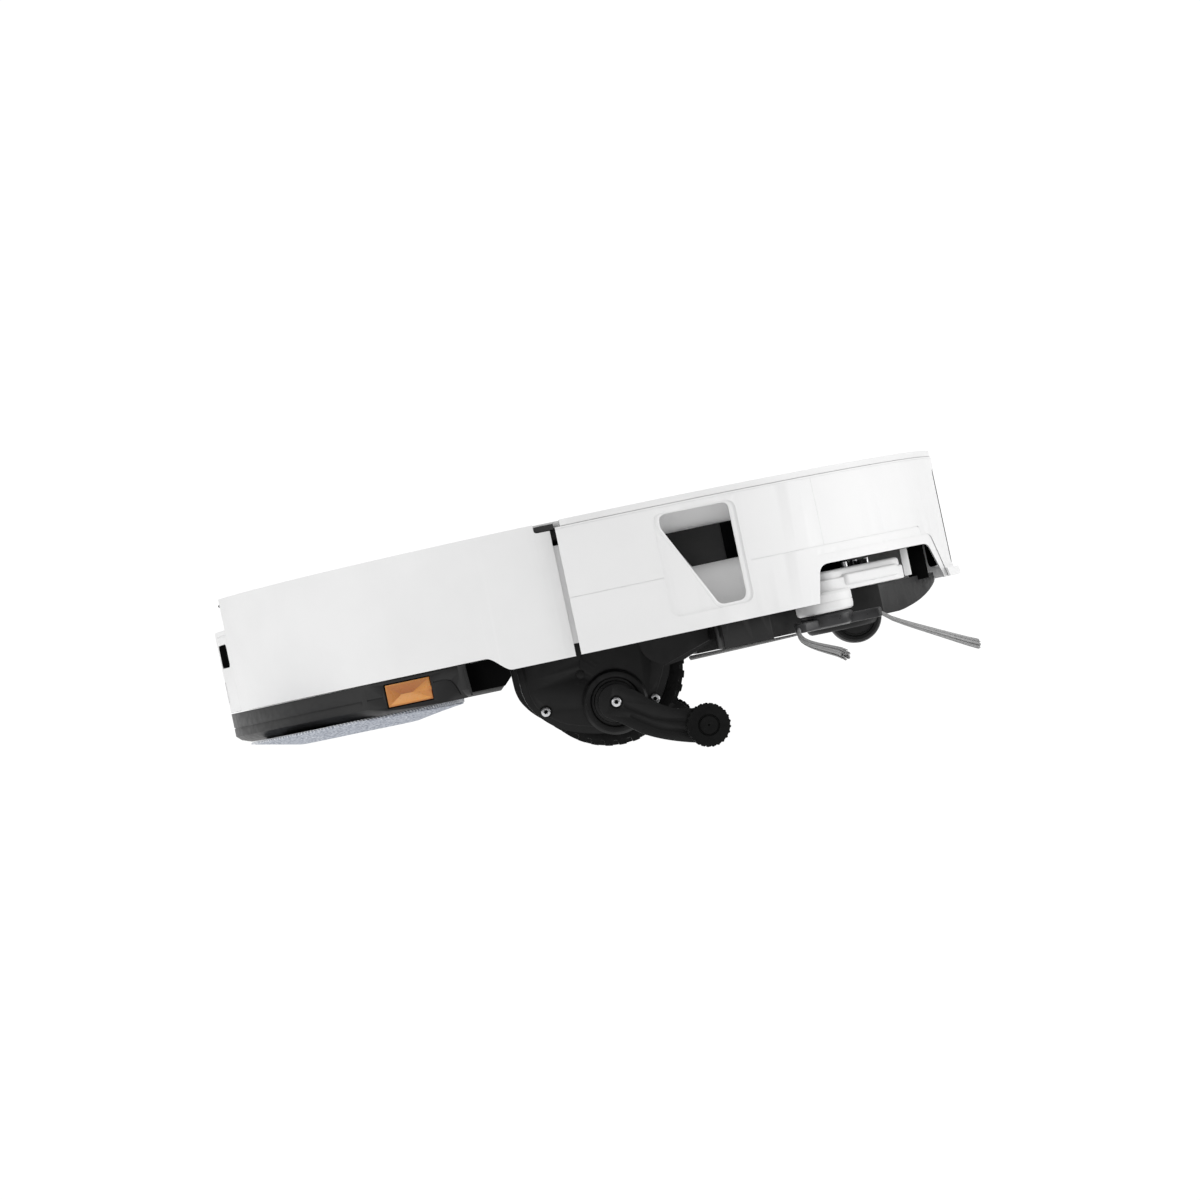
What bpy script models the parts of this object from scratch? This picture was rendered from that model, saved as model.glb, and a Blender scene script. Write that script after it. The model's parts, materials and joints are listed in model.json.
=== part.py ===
"""Robot vacuum and mop with swing-down climbing legs, in its nose-up climbing stance.

Every shape is drawn in the robot's own frame, in millimetres: x forward, y left, z up,
with z = 0 on the underside of the front base. The empty "robot_frame" turns that frame
12 degrees nose up and sets it on the floor.
"""
import math

import bmesh
import bpy
from mathutils import Vector

MM = 0.001
PITCH = math.radians(12)
SIDES = {"right": -1, "left": 1}

# Body: a round shell, with a bumper as its front half.
BODY_R = 175.0
WALL = 2.6
GAP = 0.3
TOP_Z = 70.5
COVER_Z = 67.7
COVER_REAR_R = 163.4
SHELL_BOTTOM_Z = 17.5
SKIRT_BOTTOM_Z = 10.6
SHELL_FRONT_X = -13.7
BUMPER_REAR_X = -11.4
BUMPER_Z = (10.8, 67.4)
RECESS_HALF = 50.0
RECESS_R = 166.6
PANEL_TOP_Z = 56.0
FRONT_HALF = 36.0
FRONT_Z = (16.4, 61.7)

# Base plates.
REAR_BASE_Z = 2.6
FOOT_SHARE = 0.957
FACET_START = (-108.4, -137.4)
FACET_END = (-63.0, -156.0)
INSERT_ALONG = (10.2, 31.8)
INSERT_Z = (5.4, 15.2)
TRAY_Z = (11.0, 14.0)
TRAY_R = 165.0
WELL_X = (-43.0, 52.0)
WELL_Y = 94.5

# Drive module: wheel, housing and climbing leg.
WHEEL_R = 34.5
WHEEL_Y = 113.0
WHEEL_Z = 2.0
TYRE_HALF = 12.5
HUB_R = 27.0
HOUSING_Y = (126.0, 137.0)
HOUSING_TOP_Z = 41.0
LEG_PIVOT_Z = -13.0
LEG_Y = (140.0, 149.0)
ROLLER_X = 37.4
ROLLER_Z = -31.2
ROLLER_R = 9.86
ROLLER_Y = (149.4, 162.0)

# Caster, side brush and main brushes.
CASTER_PIVOT_X = 118.5
CASTER_X = 124.6
CASTER_Z = 1.2
CASTER_R = 12.7
BRUSH_X = 101.0
BRUSH_Y = -126.0
BRUSH_PIVOT = (134.0, -86.0)
BRUSH_SWING = 20.0
TUFT_R = (26.0, 72.0)
TUFT_ROOTS = (-8.1, 111.9, 231.9)
TUFTS = {1: {"sweep": 28.5, "tip_z": -22.2, "droop": 0.78, "rise": 1.6},
         2: {"sweep": 37.0, "tip_z": -1.3, "droop": 0.07, "rise": 0.9},
         3: {"sweep": 37.0, "tip_z": -13.0, "droop": 0.85, "rise": 1.6}}
MAIN_BRUSH_X = {"rear": 60.0, "front": 84.0}
MAIN_BRUSH_Z = 7.2
MAIN_BRUSH_R = 7.6
GUARD_X = (45.4, 96.6)
GUARD_HALF = 89.6
MAIN_BRUSH_HALF = 81.0

# Mops: the right one swings out on an arm.
MOP_X = -115.2
MOP_Y = {"right": -82.0, "left": 52.0}
MOP_R = 49.2
MOP_TOP_Z = 2.3
MOP_LOW_Z = -3.1
MOP_FLAT_R = 27.0
MOP_DISC_R = 34.0
MOP_PIVOT = (-58.0, -67.0)
MOP_SWING = 29.4

# Turret, dust bin and fan.
TURRET_X = -85.0
TURRET_R = 45.8
BIN_X = (-28.0, 46.0)
BIN_HALF = 60.0
FAN = (105.0, 45.0)

COLOURS = {
    "white_shell": ((0.82, 0.82, 0.82), 0.42, 0.0),
    "black_base": ((0.035, 0.035, 0.037), 0.5, 0.0),
    "black_gloss": ((0.01, 0.01, 0.011), 0.12, 0.0),
    "orange_insert": ((0.78, 0.31, 0.05), 0.4, 0.0),
    "tyre_rubber": ((0.02, 0.02, 0.02), 0.8, 0.0),
    "steel": ((0.62, 0.62, 0.64), 0.3, 1.0),
    "mop_fibre": ((0.4, 0.43, 0.5), 0.95, 0.0),
    "bristle": ((0.4, 0.4, 0.4), 0.6, 0.0),
    "board_green": ((0.03, 0.16, 0.07), 0.5, 0.0),
    "filter_paper": ((0.75, 0.74, 0.68), 0.9, 0.0),
    "tank_clear": ((0.3, 0.33, 0.36), 0.2, 0.0),
}


# ---------------------------------------------------------------- shape helpers

def polar(radius, degrees, centre=(0.0, 0.0)):
    """A point on a circle in plan."""
    angle = math.radians(degrees)
    return (centre[0] + radius * math.cos(angle), centre[1] + radius * math.sin(angle))


def arc(radius, start, end, steps, centre=(0.0, 0.0)):
    """Points along a circle from one angle to another, in degrees."""
    return [polar(radius, start + (end - start) * i / steps, centre) for i in range(steps + 1)]


def circle(radius, steps, centre=(0.0, 0.0)):
    """A closed round outline."""
    return arc(radius, 0.0, 360.0, steps, centre)[:-1]


def box_outline(low_u, high_u, low_v, high_v):
    """A rectangular outline."""
    return [(low_u, low_v), (high_u, low_v), (high_u, high_v), (low_u, high_v)]


def band(inner, outer, start, end, steps):
    """The outline of a curved plate between two radii."""
    return arc(outer, start, end, steps) + arc(inner, end, start, steps)


def capsule(first, second, radius, steps=8):
    """The outline round two equal circles."""
    heading = math.degrees(math.atan2(second[1] - first[1], second[0] - first[0]))
    return (arc(radius, heading + 90, heading + 270, steps, first)
            + arc(radius, heading - 90, heading + 90, steps, second))


def angle_at_x(radius, x):
    """The angle, in degrees from +x, at which a circle reaches x."""
    return math.degrees(math.acos(x / radius))


def mirrored(outline):
    """An outline on the other side of the robot."""
    return [(x, -y) for x, y in reversed(outline)]


def placed(u, v, w, axis):
    """Outline point (u, v) at height w along an axis, as x, y, z."""
    order = {"z": (u, v, w), "y": (u, w, v), "x": (w, u, v)}
    return Vector(order[axis]) * MM


def finish_mesh(shape, name):
    """A mesh with outward faces, smooth apart from its edges."""
    bmesh.ops.recalc_face_normals(shape, faces=shape.faces)
    mesh = bpy.data.meshes.new(name)
    shape.to_mesh(mesh)
    shape.free()
    mesh.shade_smooth()
    mesh.set_sharp_from_angle(angle=math.radians(30))
    return mesh


def prism(name, outline, low, high, axis="z"):
    """An outline pushed straight along an axis."""
    shape = bmesh.new()
    bottom = [shape.verts.new(placed(u, v, low, axis)) for u, v in outline]
    top = [shape.verts.new(placed(u, v, high, axis)) for u, v in outline]
    shape.faces.new(bottom)
    shape.faces.new(top)
    for i in range(len(outline)):
        j = (i + 1) % len(outline)
        shape.faces.new((bottom[i], bottom[j], top[j], top[i]))
    return finish_mesh(shape, name)


def turned(name, profile, centre, axis="z", steps=32, ring=False):
    """A (radius, height) profile turned about an axis; a ring's profile closes on itself."""
    shape = bmesh.new()
    loops = []
    for radius, height in profile:
        spots = [(0.0, 0.0)] if radius == 0 else circle(radius, steps)
        loops.append([shape.verts.new(placed(u, v, height, axis)) for u, v in spots])
    pairs = list(zip(loops, loops[1:]))
    if ring:
        pairs.append((loops[-1], loops[0]))
    for first, second in pairs:
        for i in range(steps):
            j = (i + 1) % steps
            corners = [first[i % len(first)], first[j % len(first)],
                       second[j % len(second)], second[i % len(second)]]
            shape.faces.new(list(dict.fromkeys(corners)))
    bmesh.ops.translate(shape, verts=shape.verts, vec=Vector(centre) * MM)
    return finish_mesh(shape, name)


def cylinder(name, radius, low, high, centre, axis="z", steps=32):
    """A plain round bar; low and high are measured along its axis from the centre."""
    profile = [(0, low), (radius, low), (radius, high), (0, high)]
    return turned(name, profile, centre, axis, steps)


# ---------------------------------------------------------------- scene helpers

def material(slot):
    """The slot's material, made on first use."""
    if slot in bpy.data.materials:
        return bpy.data.materials[slot]
    colour, roughness, metallic = COLOURS[slot]
    made = bpy.data.materials.new(slot)
    made.use_nodes = True
    shader = made.node_tree.nodes["Principled BSDF"]
    shader.inputs["Base Color"].default_value = (*colour, 1.0)
    shader.inputs["Roughness"].default_value = roughness
    shader.inputs["Metallic"].default_value = metallic
    made.diffuse_color = (*colour, 1.0)
    return made


def pivot(name, place, parent):
    """An empty on a joint's axis, carried by another empty."""
    empty = bpy.data.objects.new(name, None)
    empty["place"] = place
    empty.parent = parent
    start = Vector(parent["place"]) if parent else Vector()
    empty.location = (Vector(place) - start) * MM
    bpy.context.collection.objects.link(empty)
    return empty


def add_part(mesh, slot, carrier):
    """An object for a mesh drawn in the robot's frame, carried by a pivot."""
    part = bpy.data.objects.new(mesh.name, mesh)
    mesh.materials.append(material(slot))
    part.parent = carrier
    part.location = -Vector(carrier["place"]) * MM
    bpy.context.collection.objects.link(part)
    return part


def combine(part, mesh, operation):
    """Join a second shape to a part, or cut it out."""
    tool = bpy.data.objects.new(mesh.name, mesh)
    tool.parent = part.parent
    tool.location = part.location
    tool.hide_render = True
    tool.display_type = "WIRE"
    bpy.context.collection.objects.link(tool)
    step = part.modifiers.new(mesh.name, "BOOLEAN")
    step.operation = operation
    step.solver = "EXACT"
    step.object = tool


def cut(part, mesh):
    """Take a shape away from a part."""
    combine(part, mesh, "DIFFERENCE")


def join(part, mesh):
    """Add a shape to a part."""
    combine(part, mesh, "UNION")


# ---------------------------------------------------------------- base and shell

def skirt_curve():
    """The lower edge of the shell, stepping down in an S ahead of the rear base."""
    rise = SHELL_BOTTOM_Z - SKIRT_BOTTOM_Z
    points = []
    for i in range(9):
        share = i / 8
        height = SHELL_BOTTOM_Z - rise * (3 * share ** 2 - 2 * share ** 3)
        points.append((-52.8 + 11.0 * share, height))
    return points


def rear_base_outline():
    """The rear base in plan: full width, then stepped in beside the skirt."""
    full = angle_at_x(BODY_R, -62.0)
    inset = angle_at_x(168.0, WELL_X[0])
    step = angle_at_x(168.0, -62.0)
    right = arc(168.0, -inset, -step, 2)
    return right + arc(BODY_R, -full, full - 360, 48) + mirrored(right)


def front_base_outline():
    """The front base in plan."""
    edge = angle_at_x(TRAY_R, GUARD_X[0] - 3.0)
    return arc(TRAY_R, -edge, edge, 32)


def ramp_outline():
    """What is taken off under the front edge so that it climbs, seen from the side."""
    slope = [(137.0, 0.0), (147.5, 2.3), (154.5, 5.1), (161.5, 9.1), (163.0, 10.3)]
    return slope + [(180.0, 10.3), (180.0, -6.0), (137.0, -6.0)]


def mop_arm_sweep():
    """The fan that the mop arm sweeps, seen in plan, with room round it."""
    half = MOP_SWING / 2 + 13.0
    return arc(71.0, 180 - half, 180 + half, 10, MOP_PIVOT) + arc(13.0, -70, 70, 6, MOP_PIVOT)


def build_base(frame):
    """The black base: rear block, tray and front block in one moulding."""
    low_edge = REAR_BASE_Z + 3.4
    base = add_part(prism("chassis_base", rear_base_outline(), low_edge, 17.2),
                    "black_base", frame)
    inset = [(x * FOOT_SHARE, y * FOOT_SHARE) for x, y in rear_base_outline()]
    join(base, prism("rear_base_foot", inset, REAR_BASE_Z, low_edge + 1.0))
    join(base, prism("tray", circle(TRAY_R, 64), *TRAY_Z))
    join(base, prism("front_base", front_base_outline(), 0.0, TRAY_Z[0] + 1.0))
    cut(base, prism("front_ramp", ramp_outline(), -200.0, 200.0, "y"))
    corner = [(-49.4, 0.0), (-49.4, 2.0), (-43.0, 8.2), (-40.0, 8.2), (-40.0, 0.0)]
    cut(base, prism("block_chamfer", corner, -200.0, 200.0, "y"))
    for side, sign in SIDES.items():
        outline = box_outline(*WELL_X, *sorted((sign * WELL_Y, sign * 190.0)))
        cut(base, prism("wheel_well_" + side, outline, -10.0, 20.0))
    cut(base, prism("mop_arm_recess", mop_arm_sweep(), 0.0, 10.0))
    left_mop = (MOP_X, MOP_Y["left"], 0.0)
    cut(base, cylinder("left_mop_recess", 9.0, 0.0, 10.0, left_mop, steps=24))
    roof = box_outline(GUARD_X[0] + 1.4, GUARD_X[1] + 1.0, -86.0, 86.0)
    join(base, prism("brush_bay_roof", roof, 10.0, 17.4))
    bay = box_outline(GUARD_X[0] + 3.6, GUARD_X[1] - 1.4, -84.0, 84.0)
    cut(base, prism("brush_bay", bay, -1.0, 15.4))
    recess = box_outline(GUARD_X[0] - GAP, GUARD_X[1] + GAP, -GUARD_HALF - GAP, GUARD_HALF + GAP)
    cut(base, prism("guard_bay", recess, -1.0, 3.3))
    cut(base, cylinder("caster_bay", 20.6, -10.0, 20.0, (CASTER_PIVOT_X, 0, 0)))
    for share in (0.0, 0.5, 1.0):
        centre = brush_centre(BRUSH_SWING * share)
        cut(base, cylinder("hub_bay", 34.0, -1.0, 20.0, (*centre, 0.0), steps=24))
    facet = [on_facet(0.0, 0.0), on_facet(49.1, 0.0), on_facet(49.1, 30.0), on_facet(0.0, 30.0)]
    cut(base, prism("side_facet", facet, 0.0, 20.0))
    low, high = INSERT_ALONG
    pocket = [on_facet(low - GAP, -6.0), on_facet(high + GAP, -6.0),
              on_facet(high + GAP, 9.0), on_facet(low - GAP, 9.0)]
    cut(base, prism("insert_pocket", pocket, INSERT_Z[0] - GAP, INSERT_Z[1] + GAP))
    return base


def on_facet(along, out):
    """A point in plan measured from the rear end of the base's flat side facet."""
    heading = math.atan2(FACET_END[1] - FACET_START[1], FACET_END[0] - FACET_START[0])
    return (FACET_START[0] + along * math.cos(heading) + out * math.sin(heading),
            FACET_START[1] + along * math.sin(heading) - out * math.cos(heading))


def brush_centre(turn):
    """Where the side brush stands after its arm has swung out."""
    reach = math.hypot(BRUSH_X - BRUSH_PIVOT[0], BRUSH_Y - BRUSH_PIVOT[1])
    start = math.degrees(math.atan2(BRUSH_Y - BRUSH_PIVOT[1], BRUSH_X - BRUSH_PIVOT[0]))
    return polar(reach, start + turn, BRUSH_PIVOT)


def shell_outline():
    """The rear shell in plan: two side walls joined by a set-back rear wall."""
    start = angle_at_x(BODY_R, -30.0)
    corner = 180.0 - math.degrees(math.asin(RECESS_HALF / BODY_R))
    back = 180.0 - math.degrees(math.asin(RECESS_HALF / RECESS_R))
    inner_corner = 180.0 - math.degrees(math.asin((RECESS_HALF + WALL) / (BODY_R - WALL)))
    inner_back = 180.0 - math.degrees(math.asin((RECESS_HALF + WALL) / (RECESS_R - WALL)))
    tip = [(SHELL_FRONT_X, 170.9), (-18.5, 172.3), (-24.0, 172.8)]
    outer = tip + arc(BODY_R, start, corner, 24) + arc(RECESS_R, back, 180.0, 5)
    tip_inner = [(x, y - WALL) for x, y in reversed(tip)]
    inner = (arc(RECESS_R - WALL, 180.0, inner_back, 5)[1:]
             + arc(BODY_R - WALL, inner_corner, start, 24) + tip_inner)
    half_outer = outer[:-1] + [(-RECESS_R, 0.0)]
    left_to_right = half_outer + mirrored(half_outer[:-1])
    return left_to_right + mirrored(inner) + inner


def build_rear_shell(frame):
    """The white wall round the rear half, its rear panel, windows, lip and contacts."""
    shell = add_part(prism("rear_shell", shell_outline(), SKIRT_BOTTOM_Z, TOP_Z),
                     "white_shell", frame)
    below = [(-200.0, SHELL_BOTTOM_Z)] + skirt_curve() + [(-41.8, 0.0), (-200.0, 0.0)]
    cut(shell, prism("below_shell", below, -200.0, 200.0, "y"))
    notch = box_outline(-20.8, 0.0, 66.6, 80.0)
    cut(shell, prism("finger_notch", notch, -200.0, 200.0, "y"))

    edge = math.degrees(math.asin((RECESS_HALF - GAP) / BODY_R))
    low = SHELL_BOTTOM_Z + GAP
    outline = band(RECESS_R + GAP, BODY_R, 180 - edge, 180 + edge, 14)
    panel = add_part(prism("rear_panel", outline, low, PANEL_TOP_Z), "white_shell", frame)
    cut(panel, prism("window_pocket", band(171.7, 180, 187, 195.4, 6), 38.7, 49.6))
    window = band(172.0, BODY_R, 187.12, 195.28, 4)
    add_part(prism("rear_ir_window", window, 39.0, 49.3), "black_gloss", frame)
    for side, sign in SIDES.items():
        middle = 180.0 + sign * 5.2
        pocket = band(172.7, 180, middle - 2.4, middle + 2.4, 4)
        cut(panel, prism("contact_pocket_" + side, pocket, 22.7, 32.3))
        plate = band(173.0, 174.6, middle - 2.25, middle + 2.25, 3)
        add_part(prism("charging_contact_" + side, plate, 23.0, 32.0), "steel", frame)

    tip = [(-167.0, 66.2), (-167.0, 69.4), (-169.9, 68.4), (-169.9, 67.7)]
    add_part(prism("rear_lip", tip, -20.0, 20.0, "y"), "black_base", frame)


def build_insert(frame):
    """The orange insert in the right side of the rear base."""
    low, high = INSERT_ALONG
    outline = [on_facet(low, -5.2), on_facet(high, -5.2), on_facet(high, -0.4),
               on_facet(low, -0.4)]
    insert = add_part(prism("side_insert", outline, *INSERT_Z), "orange_insert", frame)
    dish = [on_facet(low + 1.0, 1.0), on_facet(low + 6.0, -2.6), on_facet(high - 6.0, -2.6),
            on_facet(high - 1.0, 1.0)]
    cut(insert, prism("insert_dish", dish, INSERT_Z[0] + 1.0, INSERT_Z[1] - 1.0))


def build_deck(frame):
    """The black deck under the cover, with holes for the bin and the turret."""
    deck = add_part(prism("top_deck", circle(165.5, 64), 63.0, 66.3), "black_base", frame)
    edge = math.degrees(math.asin(54.0 / COVER_REAR_R))
    cut(deck, prism("rear_room", band(COVER_REAR_R, 190.0, 180 - edge, 180 + edge, 8), 60.0, 70.0))
    hole = box_outline(BIN_X[0] - 0.6, BIN_X[1] + 0.6, -BIN_HALF - 0.6, BIN_HALF + 0.6)
    cut(deck, prism("bin_hole", hole, 60.0, 70.0))
    cut(deck, prism("bay_notch", box_outline(31.0, 69.0, -175.0, -146.0), 60.0, 70.0))
    cut(deck, cylinder("turret_hole", 47.2, 60, 70, (TURRET_X, 0, 0), steps=36))
    for side, sign in SIDES.items():
        foot = box_outline(-20.4, -11.8, *sorted((sign * 160.0, sign * 164.0)))
        join(deck, prism("notch_foot_" + side, foot, 65.0, 68.0))
        step = box_outline(-20.4, -11.8, *sorted((sign * 159.8, sign * 171.3)))
        join(deck, prism("notch_step_" + side, step, 66.9, 69.4))


# ---------------------------------------------------------------- bumper and top

def side_window_outline():
    """The opening in the bumper's right side, slanted at its rear."""
    return [(34.7, 58.8), (36.9, 62.7), (40.4, 63.4), (62.2, 63.4), (65.6, 60.5),
            (65.6, 21.6), (63.1, 19.6), (56.1, 19.6), (53.8, 22.1), (36.0, 55.0)]


def brush_notch_outline():
    """The opening in the bumper over the side brush."""
    return [(97.4, 5.0), (97.9, 10.8), (101.2, 23.2), (105.4, 27.7), (155.0, 27.7),
            (158.4, 25.0), (164.0, 10.8), (164.0, 5.0)]


def build_bumper(bumper):
    """The white bumper, with its window openings, foot and rear tongues."""
    reach = angle_at_x(BODY_R, BUMPER_REAR_X)
    ring = band(BODY_R - WALL, BODY_R, -reach, reach, 44)
    shell = add_part(prism("bumper_shell", ring, *BUMPER_Z), "white_shell", bumper)
    foot = band(BODY_R - WALL, 177.6, -25, 25, 12)
    join(shell, prism("bumper_foot", foot, BUMPER_Z[0], 14.8))
    for side, sign in SIDES.items():
        strip = [(-14.6, 166.0), (-9.0, 166.0), (-9.0, 172.9), (-11.2, 172.9),
                 (-11.2, 167.9), (-14.6, 167.9)]
        outline = strip if sign > 0 else mirrored(strip)
        join(shell, prism("tongue_" + side, outline, 16.1, 59.8))
    window = box_outline(0.0, 180.0, -FRONT_HALF, FRONT_HALF)
    cut(shell, prism("front_opening", window, *FRONT_Z))
    cut(shell, prism("side_opening", side_window_outline(), -190.0, -140.0, "y"))
    cut(shell, prism("brush_notch", brush_notch_outline(), -190.0, -30.0, "y"))

    edge = math.degrees(math.asin((FRONT_HALF - GAP) / 172.5))
    glass = band(169.9, 172.5, -edge, edge, 10)
    low, high = FRONT_Z[0] + GAP, FRONT_Z[1] - GAP
    add_part(prism("front_window", glass, low, high), "black_gloss", bumper)


def build_sensor_bay(frame):
    """The white bay behind the side opening, with a dark sensor window inside."""
    tub = [(32.0, 57.0), (36.0, 65.0), (68.3, 65.0), (68.3, 17.0), (53.0, 17.0), (51.5, 22.0)]
    inner = [(34.2, 57.2), (37.2, 63.6), (66.9, 63.6), (66.9, 18.6), (54.2, 18.6),
             (53.2, 22.4)]
    bay = add_part(prism("side_sensor_bay", tub, -156.5, -147.0, "y"), "white_shell", frame)
    cut(bay, prism("bay_hollow", inner, -160.0, -149.0, "y"))
    strip = [(45.8, 38.6), (66.4, 38.6), (66.4, 55.2), (36.8, 55.2)]
    add_part(prism("side_sensor_window", strip, -152.0, -149.3, "y"), "black_gloss", frame)


def cover_outline():
    """The top cover in plan: flush over the bumper, inside the rear shell, with notches."""
    front = angle_at_x(174.7, -8.9)
    rear_r = 171.0
    corner = 180.0 - math.degrees(math.asin(53.4 / rear_r))
    back = 180.0 - math.degrees(math.asin(53.4 / COVER_REAR_R))
    side = [(-8.9, 159.4), (-22.0, 159.4)]
    walls = arc(rear_r, angle_at_x(rear_r, -22.0), corner, 16)
    left = arc(174.7, 0.0, front, 24)[1:] + side + walls + arc(COVER_REAR_R, back, 180.0, 5)
    return [(174.7, 0.0)] + left[:-1] + [(-COVER_REAR_R, 0.0)] + mirrored(left[:-1])


def build_cover(cover):
    """The lift-off top cover."""
    lid = add_part(prism("top_cover", cover_outline(), COVER_Z, TOP_Z), "white_shell", cover)
    cut(lid, cylinder("cover_turret_hole", 46.5, 60, 80, (TURRET_X, 0, 0), steps=36))
    for y in (-13.0, 13.0):
        cut(lid, cylinder("button_hole", 7.4, 60, 80, (-24.0, y, 0), steps=24))


def build_buttons(buttons):
    """The power and home buttons, each sunk in the cover."""
    for name, empty in buttons.items():
        x, y, z = empty["place"]
        profile = [(0, -2.0), (7.0, -2.0), (7.0, 0.0), (6.4, 0.6), (0, 0.6)]
        add_part(turned(name + "_button", profile, (x, y, z), steps=24), "white_shell", empty)


def build_turret(turret, rotor):
    """The retracting sensor turret and the rotor that spins in it."""
    cap = add_part(cylinder("turret_cap", TURRET_R, 67.4, 70.4, (TURRET_X, 0, 0), steps=36),
                   "white_shell", turret)
    ring = turned("turret_foot", [(41.0, 46.2), (TURRET_R, 46.2), (TURRET_R, 49.2), (41.0, 49.2)],
                  (TURRET_X, 0, 0), steps=36, ring=True)
    join(cap, ring)
    for i in range(4):
        heading = 45 + 90 * i
        outline = [polar(41.5, heading - 7), polar(45.2, heading - 7),
                   polar(45.2, heading + 7), polar(41.5, heading + 7)]
        outline = [(x + TURRET_X, y) for x, y in outline]
        join(cap, prism("turret_post", outline, 48.0, 68.5))
    profile = [(0, 46.6), (36.0, 46.6), (36.0, 51.0), (33.0, 53.0), (33.0, 64.0), (0, 66.6)]
    add_part(turned("lidar_rotor", profile, (TURRET_X, 0, 0), steps=28), "black_gloss", rotor)


# ---------------------------------------------------------------- inside the body

def build_bin(carrier):
    """The dust bin tub and its filter."""
    outline = box_outline(*BIN_X, -BIN_HALF, BIN_HALF)
    tub = add_part(prism("dust_bin", outline, 16.0, 66.0), "tank_clear", carrier)
    inside = box_outline(BIN_X[0] + 2, BIN_X[1] - 2, -BIN_HALF + 2, BIN_HALF - 2)
    cut(tub, prism("bin_hollow", inside, 18.5, 70.0))
    filter_box = box_outline(BIN_X[0] + 2.4, BIN_X[0] + 14.0, -BIN_HALF + 3, BIN_HALF - 3)
    add_part(prism("bin_filter", filter_box, 19.0, 64.0), "filter_paper", carrier)


def build_fan(frame, rotor):
    """The suction fan: an open scroll and its impeller."""
    cup = [(0, 18.0), (26.0, 18.0), (26.0, 51.0), (23.5, 51.0), (23.5, 20.5), (0, 20.5)]
    add_part(turned("fan_housing", cup, (*FAN, 0), steps=28), "black_base", frame)
    hub = add_part(cylinder("impeller", 8.0, 21.5, 47.0, (*FAN, 0), steps=20),
                   "white_shell", rotor)
    for i in range(6):
        heading = 60 * i
        blade = [polar(6.0, heading - 6, FAN), polar(21.5, heading - 2, FAN),
                 polar(21.5, heading + 2, FAN), polar(6.0, heading + 6, FAN)]
        join(hub, prism("blade", blade, 23.0, 43.0))


def build_inside(frame):
    """Battery, tank, board and brush motor: fixed pieces that never show."""
    battery = box_outline(-128.0, -46.0, -62.0, 62.0)
    add_part(prism("battery_pack", battery, 17.6, 43.0), "black_base", frame)
    edge = angle_at_x(163.0, -134.0)
    tank = arc(163.0, edge, 360 - edge, 20)
    add_part(prism("water_tank", tank, 17.6, 60.0), "tank_clear", frame)
    board = box_outline(62.0, 138.0, -62.0, 62.0)
    add_part(prism("main_board", board, 56.0, 57.8), "board_green", frame)
    motor = (62.0, 0.0, 31.0)
    add_part(cylinder("brush_motor", 12.0, 62.0, 90.0, motor, "y", 24), "steel", frame)


def build_guard(frame):
    """The frame that holds the main brushes in their bay."""
    plate = box_outline(*GUARD_X, -GUARD_HALF, GUARD_HALF)
    guard = add_part(prism("brush_guard", plate, 0.0, 3.0), "black_base", frame)
    half = MAIN_BRUSH_HALF + 1.5
    for name, x in MAIN_BRUSH_X.items():
        slot = box_outline(x - 10.8, x + 10.8, -half, half)
        cut(guard, prism("guard_slot_" + name, slot, -1.0, 4.0))


# ---------------------------------------------------------------- drive and legs

def housing_outline():
    """The drive module's cover, seen from the side: round below, cut up at the front."""
    return [(-40.0, HOUSING_TOP_Z), (-40.0, 0.0), (-39.0, -4.9), (-36.1, -10.4),
            (-32.4, -14.9), (-25.4, -20.2), (-19.6, -22.6), (-10.7, -25.2), (2.6, -26.4),
            (12.0, -22.8), (19.8, -16.4), (27.3, -1.8), (34.0, -1.0), (50.0, 5.2),
            (50.0, HOUSING_TOP_Z)]


def build_module(side, sign, module):
    """The cover and frame round one drive wheel, with its two screws."""
    def across(near, far):
        return sorted((sign * near, sign * far))
    name = "module_housing_" + side
    cover = add_part(prism(name, housing_outline(), *across(*HOUSING_Y), "y"),
                     "black_base", module)
    bridge = box_outline(-40.0, 42.0, 37.4, HOUSING_TOP_Z)
    join(cover, prism("module_bridge", bridge, *across(96.5, 127.0), "y"))
    inner = [(-30.0, 40.0), (-30.0, 6.0), (-16.0, -12.0), (16.0, -12.0), (30.0, 6.0),
             (30.0, 40.0)]
    join(cover, prism("module_inner", inner, *across(96.5, 99.5), "y"))
    for number, (x, z) in enumerate(((-31.2, -11.0), (17.6, -15.3)), 1):
        head = cylinder("housing_screw_%s_%d" % (side, number), 2.2,
                        *across(137.3, 138.5), (x, 0, z), "y", 16)
        add_part(head, "steel", module)


def build_wheel(side, sign, wheel):
    """Hub and tyre of one drive wheel."""
    centre = (0.0, sign * WHEEL_Y, WHEEL_Z)
    dish = [(0, -6.0), (18.0, -6.0), (21.0, -11.0), (HUB_R, -11.0), (HUB_R, 11.0),
            (21.0, 11.0), (18.0, 6.0), (0, 6.0)]
    add_part(turned("wheel_hub_" + side, dish, centre, "y", 28), "black_base", wheel)
    tread = [(HUB_R + 0.4, -TYRE_HALF), (WHEEL_R - 1.5, -TYRE_HALF), (WHEEL_R, -TYRE_HALF + 1.5),
             (WHEEL_R, TYRE_HALF - 1.5), (WHEEL_R - 1.5, TYRE_HALF), (HUB_R + 0.4, TYRE_HALF)]
    add_part(turned("tyre_" + side, tread, centre, "y", 48, ring=True), "tyre_rubber", wheel)


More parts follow.
